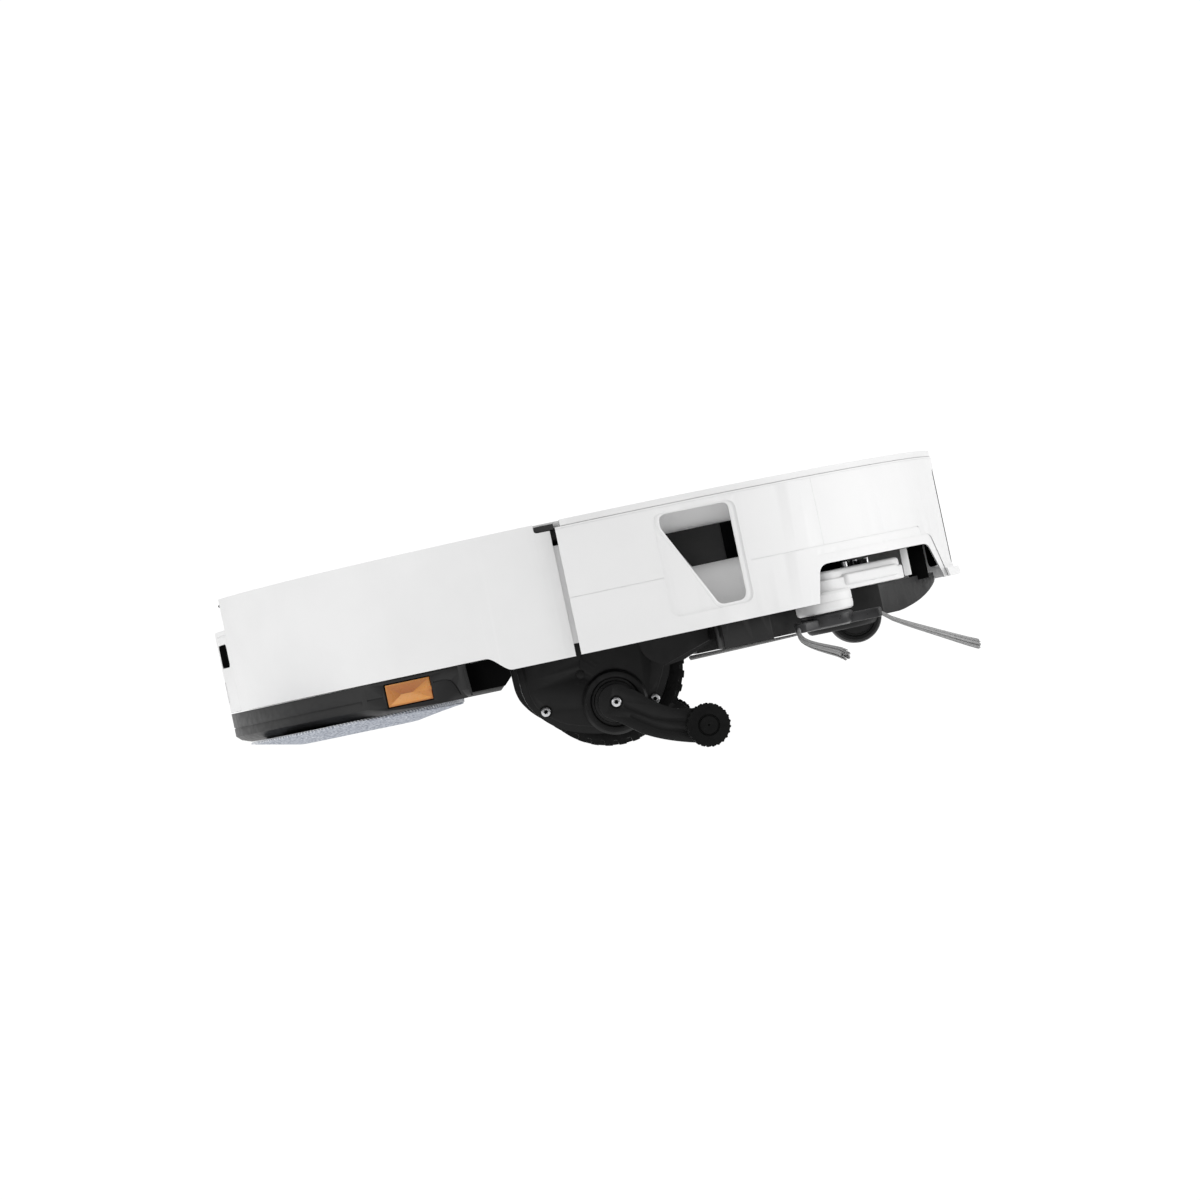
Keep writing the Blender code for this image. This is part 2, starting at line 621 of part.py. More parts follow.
def leg_outline():
    """The S-shaped leg arm, seen from the side, from its pivot to its roller."""
    lower = [(-5.6, -18.7), (2.0, -24.0), (9.0, -29.6), (17.0, -33.6), (26.0, -36.9),
             (34.6, -39.3)]
    upper = [(37.2, -23.0), (29.5, -22.4), (23.0, -20.2), (15.5, -15.4), (9.0, -9.4)]
    root = arc(8.0, 35, 225, 8, (0.0, LEG_PIVOT_Z))
    return lower + arc(8.2, -110, 90, 6, (ROLLER_X, ROLLER_Z)) + upper + root


def build_leg(side, sign, leg, roller):
    """One climbing leg: hub disc, arm, pivot screw and roller."""
    def across(near, far):
        return sorted((sign * near, sign * far))
    arm = add_part(prism("leg_arm_" + side, leg_outline(), *across(*LEG_Y), "y"),
                   "black_base", leg)
    disc = cylinder("leg_disc", 14.6, *across(137.4, 140.6), (0, 0, LEG_PIVOT_Z), "y", 28)
    join(arm, disc)
    head = cylinder("leg_screw_" + side, 2.2, *across(149.3, 150.5), (0, 0, LEG_PIVOT_Z),
                    "y", 16)
    add_part(head, "steel", leg)
    near, far = ROLLER_Y
    wheel = cylinder("leg_roller_" + side, ROLLER_R, *across(near, far),
                     (ROLLER_X, 0, ROLLER_Z), "y", 36)
    add_part(wheel, "tyre_rubber", roller)


def build_caster(yoke_empty, wheel_empty):
    """The front caster: a round yoke with a pocket, and its wheel."""
    body = [(0, -3.8), (16.0, -3.8), (17.5, -2.4), (17.5, 17.5), (0, 17.5)]
    yoke = add_part(turned("caster_yoke", body, (CASTER_PIVOT_X, 0, 0), steps=28),
                    "black_base", yoke_empty)
    pocket = box_outline(111.0, 145.0, -7.0, 7.0)
    cut(yoke, prism("caster_pocket", pocket, -10.0, 14.8))
    rim = [(0, -6.3), (CASTER_R - 1.6, -6.3), (CASTER_R, -4.7), (CASTER_R, 4.7),
           (CASTER_R - 1.6, 6.3), (0, 6.3)]
    add_part(turned("caster_wheel", rim, (CASTER_X, 0, CASTER_Z), "y", 36),
             "tyre_rubber", wheel_empty)


# ---------------------------------------------------------------- brushes and mops

def tuft_mesh(number, root, sweep, tip_z, droop, rise):
    """One bristle tuft: a flat strip that sweeps round and droops as it goes out."""
    shape = bmesh.new()
    stations = []
    steps = 6
    for i in range(steps + 1):
        share = i / steps
        radius = TUFT_R[0] + (TUFT_R[1] - TUFT_R[0]) * share
        heading = root + sweep * (1 - (1 - share) ** 1.5)
        x, y = polar(radius, heading, (BRUSH_X, BRUSH_Y))
        z = 1.4 + (tip_z - 1.4) * share ** droop
        half = 1.1 + 1.2 * share
        tall = min(rise, 1.0 + 0.6 * share)
        side_x, side_y = polar(half, heading + 90)
        corners = [(x + side_x, y + side_y, z - tall), (x - side_x, y - side_y, z - tall),
                   (x - side_x, y - side_y, z + tall), (x + side_x, y + side_y, z + tall)]
        stations.append([shape.verts.new(Vector(corner) * MM) for corner in corners])
    for first, second in zip(stations, stations[1:]):
        for i in range(4):
            j = (i + 1) % 4
            shape.faces.new((first[i], first[j], second[j], second[i]))
    shape.faces.new(stations[0])
    shape.faces.new(stations[-1])
    return finish_mesh(shape, "brush_tuft_%d" % number)


def build_side_brush(arm_empty, brush_empty):
    """The swing-out side brush: white gear arm, hub and three tufts."""
    outline = capsule((BRUSH_X, BRUSH_Y), BRUSH_PIVOT, 9.0)
    arm = add_part(prism("brush_arm", outline, 14.4, 20.6), "white_shell", arm_empty)
    lid = capsule(polar(2.0, 50, (BRUSH_X, BRUSH_Y)), BRUSH_PIVOT, 7.8)
    join(arm, prism("gear_lid", lid, 19.6, 24.5))
    join(arm, cylinder("gear_pot", 13.0, 6.2, 16.0, (BRUSH_X, BRUSH_Y, 0), steps=28))
    hub = add_part(cylinder("brush_hub", 12.0, -0.6, 5.8, (BRUSH_X, BRUSH_Y, 0), steps=24),
                   "black_gloss", brush_empty)
    for root, (number, bend) in zip(TUFT_ROOTS, TUFTS.items()):
        holder = capsule(polar(8.0, root, (BRUSH_X, BRUSH_Y)),
                         polar(22.0, root, (BRUSH_X, BRUSH_Y)), 3.2, 4)
        join(hub, prism("tuft_holder", holder, -0.4, 4.0))
        add_part(tuft_mesh(number, root, **bend), "bristle", brush_empty)


def build_main_brushes(carriers):
    """The two counter-turning main brushes, each with six fins."""
    for name, empty in carriers.items():
        x, _, z = empty["place"]
        outline = []
        for i in range(6):
            heading = 60 * i
            for reach, offset in ((5.4, -22), (MAIN_BRUSH_R, -6), (MAIN_BRUSH_R, 6), (5.4, 22)):
                outline.append(polar(reach, heading + offset, (x, z)))
        add_part(prism("main_brush_" + name, outline, -MAIN_BRUSH_HALF, MAIN_BRUSH_HALF, "y"),
                 "tyre_rubber", empty)


def build_mop(side, spinner):
    """One mop: a carrier disc and the fibre pad under and round it."""
    centre = (MOP_X, MOP_Y[side], 0.0)
    plate = [(0, -0.2), (MOP_DISC_R, -0.2), (MOP_DISC_R, MOP_TOP_Z), (6.0, MOP_TOP_Z),
             (6.0, 4.8), (0, 4.8)]
    add_part(turned("mop_disc_" + side, plate, centre, steps=36), "black_base", spinner)
    rim_z = MOP_LOW_Z + (MOP_R - MOP_FLAT_R) * math.tan(PITCH)
    pad = [(0, MOP_LOW_Z), (MOP_FLAT_R, MOP_LOW_Z), (MOP_R, rim_z), (MOP_R, MOP_TOP_Z),
           (MOP_DISC_R + 0.4, MOP_TOP_Z), (MOP_DISC_R + 0.4, -0.5), (0, -0.5)]
    add_part(turned("mop_pad_" + side, pad, centre, steps=40), "mop_fibre", spinner)


def build_mop_arm(arm_empty):
    """The arm that carries the right mop out to the side."""
    outline = capsule((MOP_X, MOP_Y["right"]), MOP_PIVOT, 9.5)
    add_part(prism("mop_arm", outline, 5.2, 9.4), "black_base", arm_empty)


# ---------------------------------------------------------------- assembly

def build_drive_side(side, sign, frame):
    """Everything that one suspension carries."""
    axle = (0.0, sign * WHEEL_Y, WHEEL_Z)
    module = pivot("suspension_" + side, axle, frame)
    build_module(side, sign, module)
    build_wheel(side, sign, pivot("drive_wheel_" + side, axle, module))
    leg = pivot("leg_swing_" + side, (0.0, sign * LEG_Y[0], LEG_PIVOT_Z), module)
    roller = pivot("leg_roller_spin_" + side, (ROLLER_X, sign * ROLLER_Y[0], ROLLER_Z), leg)
    build_leg(side, sign, leg, roller)


def build_underside(frame):
    """Caster, brushes and mops, each on its pivots."""
    yoke = pivot("caster_swivel", (CASTER_PIVOT_X, 0.0, CASTER_Z), frame)
    build_caster(yoke, pivot("caster_roll", (CASTER_X, 0.0, CASTER_Z), yoke))
    arm = pivot("brush_swing", (*BRUSH_PIVOT, 19.0), frame)
    build_side_brush(arm, pivot("brush_spin", (BRUSH_X, BRUSH_Y, 3.0), arm))
    brushes = {name: pivot("main_brush_spin_" + name, (x, 0.0, MAIN_BRUSH_Z), frame)
               for name, x in MAIN_BRUSH_X.items()}
    build_main_brushes(brushes)
    build_guard(frame)
    mop_arm = pivot("mop_swing", (*MOP_PIVOT, 7.0), frame)
    build_mop_arm(mop_arm)
    for side, carrier in {"right": mop_arm, "left": frame}.items():
        build_mop(side, pivot("mop_spin_" + side, (MOP_X, MOP_Y[side], 1.0), carrier))


def build_top(frame):
    """Cover, buttons, turret and bin, each on its pivot."""
    cover = pivot("cover_lift", (0.0, 0.0, COVER_Z), frame)
    build_cover(cover)
    build_buttons({name: pivot(name + "_press", (-24.0, y, 69.6), cover)
                   for name, y in {"power": -13.0, "home": 13.0}.items()})
    turret = pivot("turret_lift", (TURRET_X, 0.0, 60.0), frame)
    build_turret(turret, pivot("lidar_spin", (TURRET_X, 0.0, 60.0), turret))
    build_bin(pivot("bin_lift", (9.0, 0.0, 40.0), frame))
    build_fan(frame, pivot("fan_spin", (*FAN, 30.0), frame))


def clear_scene():
    """Start from an empty scene."""
    for item in list(bpy.data.objects):
        bpy.data.objects.remove(item, do_unlink=True)


def set_on_floor(frame):
    """Pitch the robot nose up and put the middle of its footprint at the origin."""
    frame.rotation_euler = (0.0, -PITCH, 0.0)
    bpy.context.view_layer.update()
    graph = bpy.context.evaluated_depsgraph_get()
    corners = []
    for item in bpy.data.objects:
        if item.type == "MESH" and not item.hide_render:
            solid = item.evaluated_get(graph)
            corners += [solid.matrix_world @ vertex.co for vertex in solid.data.vertices]
    low = [min(point[i] for point in corners) for i in range(3)]
    high = [max(point[i] for point in corners) for i in range(3)]
    frame.location = (-(low[0] + high[0]) / 2, -(low[1] + high[1]) / 2, -low[2])
    bpy.context.view_layer.update()


def main():
    clear_scene()
    frame = pivot("robot_frame", (0.0, 0.0, 0.0), None)
    build_base(frame)
    build_rear_shell(frame)
    build_insert(frame)
    build_deck(frame)
    build_sensor_bay(frame)
    build_inside(frame)
    build_bumper(pivot("bumper_press", (150.0, 0.0, 40.0), frame))
    build_top(frame)
    build_underside(frame)
    for side, sign in SIDES.items():
        build_drive_side(side, sign, frame)
    set_on_floor(frame)


main()
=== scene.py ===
"""Looks for the robot vacuum: finely shaped pieces and materials around its CAD frame.

Pieces are drawn like the CAD, in the robot's own frame and in millimetres (x forward, y left,
z up), and HOME puts them in the world, 12 degrees nose up.
"""
import json
import math
import random

import bmesh
import bpy
from mathutils import Matrix, Vector


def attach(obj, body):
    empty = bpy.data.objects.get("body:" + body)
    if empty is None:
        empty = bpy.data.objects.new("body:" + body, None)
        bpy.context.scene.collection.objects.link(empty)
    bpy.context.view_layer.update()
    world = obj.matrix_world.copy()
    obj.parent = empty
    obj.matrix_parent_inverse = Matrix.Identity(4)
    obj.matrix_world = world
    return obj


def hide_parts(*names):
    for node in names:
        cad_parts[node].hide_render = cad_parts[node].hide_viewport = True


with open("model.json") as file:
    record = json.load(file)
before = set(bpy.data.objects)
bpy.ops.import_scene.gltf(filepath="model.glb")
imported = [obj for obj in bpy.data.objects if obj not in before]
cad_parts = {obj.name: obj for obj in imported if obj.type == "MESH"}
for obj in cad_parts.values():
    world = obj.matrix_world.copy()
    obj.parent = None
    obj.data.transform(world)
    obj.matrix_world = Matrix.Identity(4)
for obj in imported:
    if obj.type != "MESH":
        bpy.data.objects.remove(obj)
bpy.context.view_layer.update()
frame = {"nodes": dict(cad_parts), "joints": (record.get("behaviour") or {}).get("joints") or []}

MM = 0.001
PITCH = math.radians(12)
SIDES = {"right": -1, "left": 1}
SHARP = math.radians(32)

BODY_R = 175.0
WALL = 2.6
GAP = 0.3
TOP_Z = 70.5
COVER_Z = 67.7
SHELL_BOTTOM_Z = 17.5
SKIRT_BOTTOM_Z = 10.6
BUMPER_REAR_X = -11.4
BUMPER_Z = (10.8, 67.4)
FRONT_HALF = 36.0
RECESS_HALF = 50.0
RECESS_R = 166.6
COVER_REAR_R = 163.4
TRAY_R = 165.0
REAR_BASE_Z = 2.6
BASE_TOP_Z = 17.2
FACET_START = (-108.4, -137.4)
FACET_END = (-63.0, -156.0)
INSERT_ALONG = (10.2, 31.8)
INSERT_Z = (5.4, 15.2)
WHEEL = (0.0, 113.0, 2.0)
WHEEL_R = 34.5
LEG_PIVOT_Z = -13.0
ROLLER = (37.4, -31.2)
ROLLER_R = 9.8
CASTER_PIVOT_X = 118.5
CASTER = (124.6, 0.0, 1.2)
BRUSH = (101.0, -126.0)
BRUSH_PIVOT = (134.0, -86.0)
TUFT_R = (24.0, 72.0)
TUFT_ROOTS = (-8.1, 111.9, 231.9)
TUFTS = {1: {"sweep": 28.5, "tip_z": -22.2, "droop": 0.78, "spread": 2.2},
         2: {"sweep": 37.0, "tip_z": -1.3, "droop": 0.07, "spread": 0.8},
         3: {"sweep": 37.0, "tip_z": -13.0, "droop": 0.85, "spread": 2.2}}
MAIN_BRUSH_X = {"rear": 60.0, "front": 84.0}
MAIN_BRUSH_Z = 7.2
MAIN_BRUSH_R = 7.6
GUARD_X = (45.4, 96.6)
GUARD_HALF = 89.6
MOP_X = -115.2
MOP_Y = {"right": -82.0, "left": 52.0}
MOP_R = 49.2
MOP_TOP_Z = 2.3
MOP_LOW_Z = -3.1
MOP_FLAT_R = 27.0
MOP_DISC_R = 34.0
MOP_PIVOT = (-58.0, -67.0)
MOP_SWING = 29.4
PAD_BULGE = 1.8
TURRET = (-85.0, 0.0, 0.0)
TURRET_R = 45.8
BUTTON_X = -24.0
BUTTON_Y = {"power": -13.0, "home": 13.0}
CONTACT_ANGLE = 5.2
BIN_X = (-28.0, 46.0)
BIN_HALF = 60.0
COVER_SCREWS = ((-31.2, -11.0), (17.6, -15.3))
COVER_SCREW_Y = 137.3
PIVOT_SCREW_Y = 149.3
BRISTLES = 90
BRISTLE_R = 0.23
STITCHES = 190
THREAD_R = 0.2
GLASS_R = 174.6
GLASS_Z = (16.7, 61.4)
ARM_HEADING = 50

CAMERA_AIM = (0.0055, 0.0, 0.0672)


def home_matrix():
    """From the robot's frame in millimetres to the world, found from the right wheel's axle."""
    axle = next(j["pos_m"] for j in frame["joints"] if j["name"] == "drive_wheel_right")
    turn = Matrix.Rotation(-PITCH, 4, "Y") @ Matrix.Scale(MM, 4)
    place = Vector((WHEEL[0], -WHEEL[1], WHEEL[2]))
    return Matrix.Translation(Vector(axle) - turn @ place) @ turn


HOME = home_matrix()


# ---------------------------------------------------------------- outlines

def polar(radius, degrees, centre=(0.0, 0.0)):
    """A point on a circle."""
    angle = math.radians(degrees)
    return (centre[0] + radius * math.cos(angle), centre[1] + radius * math.sin(angle))


def arc(radius, start, end, steps, centre=(0.0, 0.0)):
    """Points along a circle from one angle to another, in degrees."""
    return [polar(radius, start + (end - start) * i / steps, centre) for i in range(steps + 1)]


def circle(radius, steps=64, centre=(0.0, 0.0)):
    """A closed round outline."""
    return arc(radius, 0.0, 360.0, steps, centre)[:-1]


def rectangle(low_u, high_u, low_v, high_v):
    """A rectangular outline."""
    return [(low_u, low_v), (high_u, low_v), (high_u, high_v), (low_u, high_v)]


def rounded(corners, radius, steps=5):
    """An outline with its corners rounded; radius is one number or one for each corner."""
    radii = radius if isinstance(radius, (list, tuple)) else [radius] * len(corners)
    points = []
    for i, corner in enumerate(corners):
        here = Vector(corner)
        back = (Vector(corners[i - 1]) - here).normalized()
        ahead = (Vector(corners[(i + 1) % len(corners)]) - here).normalized()
        half = back.angle(ahead) / 2
        reach = radii[i] / math.tan(half)
        start, end = here + back * reach, here + ahead * reach
        for step in range(steps + 1):
            share = step / steps
            curve = start.lerp(here, share).lerp(here.lerp(end, share), share)
            points.append(tuple(curve))
    return points


def band(inner, outer, start, end, steps):
    """The outline of a curved plate between two radii."""
    return arc(outer, start, end, steps) + arc(inner, end, start, steps)


def capsule(first, second, radius, steps=16):
    """The outline round two equal circles."""
    heading = math.degrees(math.atan2(second[1] - first[1], second[0] - first[0]))
    return (arc(radius, heading + 90, heading + 270, steps, first)
            + arc(radius, heading - 90, heading + 90, steps, second))


def smooth_line(points, steps=6):
    """A smooth curve through points."""
    line = []
    ends = [points[0]] + list(points) + [points[-1]]
    for a, b, c, d in zip(ends, ends[1:], ends[2:], ends[3:]):
        for step in range(steps):
            t = step / steps
            line.append(tuple(
                0.5 * (2 * b[k] + (c[k] - a[k]) * t
                       + (2 * a[k] - 5 * b[k] + 4 * c[k] - d[k]) * t ** 2
                       + (3 * b[k] - a[k] - 3 * c[k] + d[k]) * t ** 3) for k in range(len(b))))
    return line + [tuple(points[-1])]


def ribbon(points, half):
    """The outline of a strip of even width along a line."""
    left, right = [], []
    for i, point in enumerate(points):
        before = Vector(points[max(i - 1, 0)])
        after = Vector(points[min(i + 1, len(points) - 1)])
        along = (after - before).normalized()
        across = Vector((-along.y, along.x)) * half
        left.append(tuple(Vector(point) + across))
        right.append(tuple(Vector(point) - across))
    return left + right[::-1]


def angle_at_x(radius, x):
    """The angle, in degrees from +x, at which a circle reaches x."""
    return math.degrees(math.acos(x / radius))


def half_angle(half, radius):
    """Half the angle, in degrees, that a chord takes of a circle."""
    return math.degrees(math.asin(half / radius))


def mirrored(outline):
    """An outline on the other side of the robot."""
    return [(x, -y) for x, y in reversed(outline)]


def outward(sign, near, far):
    """Two distances from the middle, as low and high y on one side of the robot."""
    return sorted((sign * near, sign * far))


# ---------------------------------------------------------------- solids

def placed(u, v, w, axis):
    """Outline point (u, v) at height w along an axis, as x, y, z."""
    return Vector({"z": (u, v, w), "y": (u, w, v), "x": (w, u, v)}[axis])


def new_object(shape, name):
    """An object in the world for a shape drawn in the robot's frame."""
    bmesh.ops.recalc_face_normals(shape, faces=shape.faces)
    shape.transform(HOME)
    mesh = bpy.data.meshes.new(name)
    shape.to_mesh(mesh)
    shape.free()
    piece = bpy.data.objects.new(name, mesh)
    bpy.context.scene.collection.objects.link(piece)
    return piece


def loft(name, rings, ring=False):
    """Rings of points joined into one closed body, capped at its ends or closed on itself."""
    shape = bmesh.new()
    loops = [[shape.verts.new(point) for point in points] for points in rings]
    pairs = list(zip(loops, loops[1:]))
    if ring:
        pairs.append((loops[-1], loops[0]))
    else:
        shape.faces.new(loops[0])
        shape.faces.new(loops[-1])
    for low, high in pairs:
        for i in range(len(low)):
            j = (i + 1) % len(low)
            shape.faces.new((low[i], low[j], high[j], high[i]))
    return new_object(shape, name)


def stacked(name, levels, axis="z"):
    """Outlines of equal length joined into one closed body, one above another."""
    return loft(name, [[placed(u, v, height, axis) for u, v in outline]
                       for outline, height in levels])


def prism(name, outline, low, high, axis="z"):
    """An outline pushed straight along an axis."""
    return stacked(name, [(outline, low), (outline, high)], axis)


def turned(name, profile, centre, axis="z", steps=64, ring=False):
    """A (radius, height) profile turned about an axis; a ring's profile closes on itself."""
    shape = bmesh.new()
    loops = []
    for radius, height in profile:
        spots = [(0.0, 0.0)] if radius == 0 else circle(radius, steps)
        loops.append([shape.verts.new(placed(u, v, height, axis)) for u, v in spots])
    pairs = list(zip(loops, loops[1:]))
    if ring:
        pairs.append((loops[-1], loops[0]))
    for first, second in pairs:
        for i in range(steps):
            j = (i + 1) % steps
            corners = [first[i % len(first)], first[j % len(first)],
                       second[j % len(second)], second[i % len(second)]]
            shape.faces.new(list(dict.fromkeys(corners)))
    bmesh.ops.translate(shape, verts=shape.verts, vec=Vector(centre))
    return new_object(shape, name)


def cylinder(name, radius, low, high, centre, axis="z", steps=48):
    """A plain round bar; low and high are measured along its axis from the centre."""
    profile = [(0, low), (radius, low), (radius, high), (0, high)]
    return turned(name, profile, centre, axis, steps)


def bake(piece):
    """Replace a piece's mesh by what its modifiers make of it."""
    bpy.context.view_layer.update()
    graph = bpy.context.evaluated_depsgraph_get()
    mesh = bpy.data.meshes.new_from_object(piece.evaluated_get(graph))
    piece.modifiers.clear()
    piece.data = mesh


def shape_with(piece, tools, operation):
    """Cut, join or intersect a piece with other shapes, which are then deleted."""
    for tool in tools:
        step = piece.modifiers.new(tool.name, "BOOLEAN")
        step.operation = operation
        step.solver = "EXACT"
        step.object = tool
    bake(piece)
    for tool in tools:
        bpy.data.objects.remove(tool)
    return piece


def cut(piece, *tools):
    return shape_with(piece, tools, "DIFFERENCE")


def join(piece, *tools):
    return shape_with(piece, tools, "UNION")


def meet(piece, *tools):
    return shape_with(piece, tools, "INTERSECT")


def soften(piece, width, segments=3):
    """Round a piece's sharp edges and shade it smooth."""
    step = piece.modifiers.new("edges", "BEVEL")
    step.width = width * MM
    step.segments = segments
    step.limit_method = "ANGLE"
    step.angle_limit = SHARP
    step.use_clamp_overlap = True
    step.miter_outer = "MITER_ARC"
    bake(piece)
    return smooth(piece)


def smooth(piece):
    """Shade smooth, apart from sharp edges."""
    piece.data.shade_smooth()
    piece.data.set_sharp_from_angle(angle=SHARP)
    return piece


def dress(piece, body, nodes, look):
    """Give a finished piece its body, the CAD nodes it stands for and its look."""
    piece.data.materials.clear()
    piece.data.materials.append(look)
    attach(piece, body)
    if nodes:
        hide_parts(*nodes)


# ---------------------------------------------------------------- materials

class Look:
    """A node material with the few texture steps that these materials share."""

    def __init__(self, name):
        self.material = bpy.data.materials.new(name)
        self.material.use_nodes = True
        self.tree = self.material.node_tree
        self.shader = self.tree.nodes["Principled BSDF"]
        self.coords = self.tree.nodes.new("ShaderNodeTexCoord")

    def add(self, kind, **inputs):
        node = self.tree.nodes.new(kind)
        for key, value in inputs.items():
            node.inputs[key].default_value = value
        return node

    def link(self, source, target):
        self.tree.links.new(source, target)

    def noise(self, scale, detail=3.0, stretch=None):
        """Noise in object space; scale is in cells per metre."""
        node = self.add("ShaderNodeTexNoise", Scale=scale, Detail=detail)
        if stretch:
            mapping = self.add("ShaderNodeMapping", Scale=stretch)
            self.link(self.coords.outputs["Object"], mapping.inputs["Vector"])
            self.link(mapping.outputs["Vector"], node.inputs["Vector"])
        else:
            self.link(self.coords.outputs["Object"], node.inputs["Vector"])
        return node.outputs["Fac"]

    def cells(self, scale):
        """Cell pattern in object space."""
        node = self.add("ShaderNodeTexVoronoi", Scale=scale)
        self.link(self.coords.outputs["Object"], node.inputs["Vector"])
        return node.outputs["Distance"]

    def blend(self, factor, low, high, start=0.35, end=0.65):
        """Two colours mixed by a pattern."""
        ramp = self.add("ShaderNodeValToRGB")
        ramp.color_ramp.elements[0].position = start
        ramp.color_ramp.elements[1].position = end
        ramp.color_ramp.elements[0].color = (*low, 1.0)
        ramp.color_ramp.elements[1].color = (*high, 1.0)
        self.link(factor, ramp.inputs["Fac"])
        return ramp.outputs["Color"]

    def span(self, factor, low, high, start=0.3, end=0.7):
        """A pattern stretched to run between two values."""
        node = self.tree.nodes.new("ShaderNodeMapRange")
        for index, value in enumerate((start, end, low, high), 1):
            node.inputs[index].default_value = value
        self.link(factor, node.inputs[0])
        return node.outputs[0]

    def edges(self):
        """How far a surface point is on a raised edge."""
        node = self.tree.nodes.new("ShaderNodeNewGeometry")
        return node.outputs["Pointiness"]

    def over(self, factor, below, above):
        """One colour laid over another by a mask."""
        node = self.tree.nodes.new("ShaderNodeMix")
        node.data_type = "RGBA"
        self.link(factor, node.inputs[0])
        self.link(below, node.inputs[6])
        node.inputs[7].default_value = (*above, 1.0)
        return node.outputs[2]

    def colour(self, socket):
        self.link(socket, self.shader.inputs["Base Color"])

    def roughness(self, socket):
        self.link(socket, self.shader.inputs["Roughness"])

    def bumps(self, *layers):
        """Bump layers, each (pattern, strength, height in millimetres)."""
        last = None
        for height, strength, distance in layers:
            node = self.add("ShaderNodeBump", Strength=strength, Distance=distance * MM)
            self.link(height, node.inputs["Height"])
            if last:
                self.link(last, node.inputs["Normal"])
            last = node.outputs["Normal"]
        self.link(last, self.shader.inputs["Normal"])

    def fix(self, **values):
        """Values that are the same all over the surface."""
        for key, value in values.items():
            self.shader.inputs[key.replace("_", " ")].default_value = value


def white_plastic():
    """Satin white moulding: faint mottling, a fine spark texture, and raised edges painted lighter
    as a painted highlight.
    """
    look = Look("white_plastic")
    # painted highlight: raised edges are painted lighter than the rest of the white
    look.colour(look.over(look.span(look.edges(), 0.0, 0.3, 0.52, 0.62),
                          look.blend(look.noise(28, 4), (0.80, 0.80, 0.80),
                                     (0.83, 0.83, 0.83)), (0.90, 0.90, 0.90)))
    look.roughness(look.span(look.noise(420, 5), 0.38, 0.50))
    look.bumps((look.noise(5200, 2), 0.08, 0.04),)
    look.fix(Specular_IOR_Level=0.35)
    return look.material


def black_plastic(name, low, high, rough, shine):
    """Black moulding with a fine spark-eroded grain, dusty in patches, worn on edges."""
    look = Look(name)
    grain = look.blend(look.noise(35, 5), (low, low, low * 1.02), (high, high, high * 1.02))
    wear = look.span(look.edges(), 0.0, 0.4, 0.54, 0.68)
    look.colour(look.over(wear, grain, (high * 3, high * 3, high * 3)))
    look.roughness(look.span(look.noise(300, 5), *rough))
    look.bumps((look.cells(3600), 0.16, 0.05), (look.noise(1200, 3), 0.08, 0.06))
    look.fix(Specular_IOR_Level=shine)
    return look.material


def gloss_black():
    """Infrared-clear window plastic: deep gloss with faint smears."""
    look = Look("gloss_black")
    look.colour(look.blend(look.noise(40, 3), (0.0015, 0.0015, 0.0017), (0.003, 0.003, 0.0032)))
    look.roughness(look.span(look.noise(90, 6, (1, 1, 3)), 0.08, 0.20))
    look.bumps((look.noise(300, 2), 0.02, 0.05),)
    look.fix(Specular_IOR_Level=0.25)
    return look.material


def window_black():
    """Infrared window plastic with hardly any shine, nearly black."""
    look = Look("window_black")
    look.colour(look.blend(look.noise(60, 3), (0.0015, 0.0015, 0.0017), (0.004, 0.004, 0.0042)))
    look.roughness(look.span(look.noise(90, 6, (1, 1, 3)), 0.25, 0.4))
    look.bumps((look.noise(300, 2), 0.02, 0.05),)
    look.fix(Specular_IOR_Level=0.0)
    return look.material


def rubber():
    """Moulded rubber: dull, with fine pits and a little dust on its raised edges."""
    look = Look("rubber")
    base = look.blend(look.noise(60, 5), (0.003, 0.003, 0.003), (0.006, 0.006, 0.006))
    dust = look.span(look.edges(), 0.0, 0.4, 0.54, 0.70)
    look.colour(look.over(dust, base, (0.016, 0.016, 0.016)))
    look.roughness(look.span(look.noise(500, 4), 0.55, 0.8))
    look.bumps((look.noise(2600, 4), 0.2, 0.08), (look.cells(900), 0.06, 0.08))
    look.fix(Specular_IOR_Level=0.12)
    return look.material


def orange_plastic():
    """Glossy orange moulding with a little light going into it, its facets painted lighter or
    darker by which way they face as painted shade.
    """
    look = Look("orange_plastic")
    # painted shade: the orange runs from dark to light by which way each facet faces
    painted_facet_shade = look.tree.nodes.new("ShaderNodeVectorMath")
    painted_facet_shade.operation = "DOT_PRODUCT"
    painted_facet_shade.inputs[1].default_value = (-0.55, 0.23, 0.80)
    look.link(look.coords.outputs["Normal"], painted_facet_shade.inputs[0])
    lean = look.span(painted_facet_shade.outputs["Value"], 0.0, 1.0, -0.5, 0.5)
    look.colour(look.blend(lean, (0.34, 0.09, 0.012), (0.80, 0.35, 0.06), 0.0, 1.0))
    look.roughness(look.span(look.noise(600, 4), 0.24, 0.36))
    look.bumps((look.noise(2400, 2), 0.06, 0.05),)
    look.fix(Subsurface_Weight=0.12, Subsurface_Scale=0.001, Coat_Weight=0.2)
    return look.material


def steel():
    """Turned steel with fine rings and small scratches."""
    look = Look("steel")
    look.colour(look.blend(look.noise(900, 3), (0.50, 0.50, 0.51), (0.66, 0.66, 0.67)))
    look.roughness(look.span(look.noise(1500, 5, (6, 1, 1)), 0.20, 0.38))
    look.bumps((look.noise(2500, 4, (8, 1, 1)), 0.10, 0.03),)
    look.fix(Metallic=1.0)
    return look.material


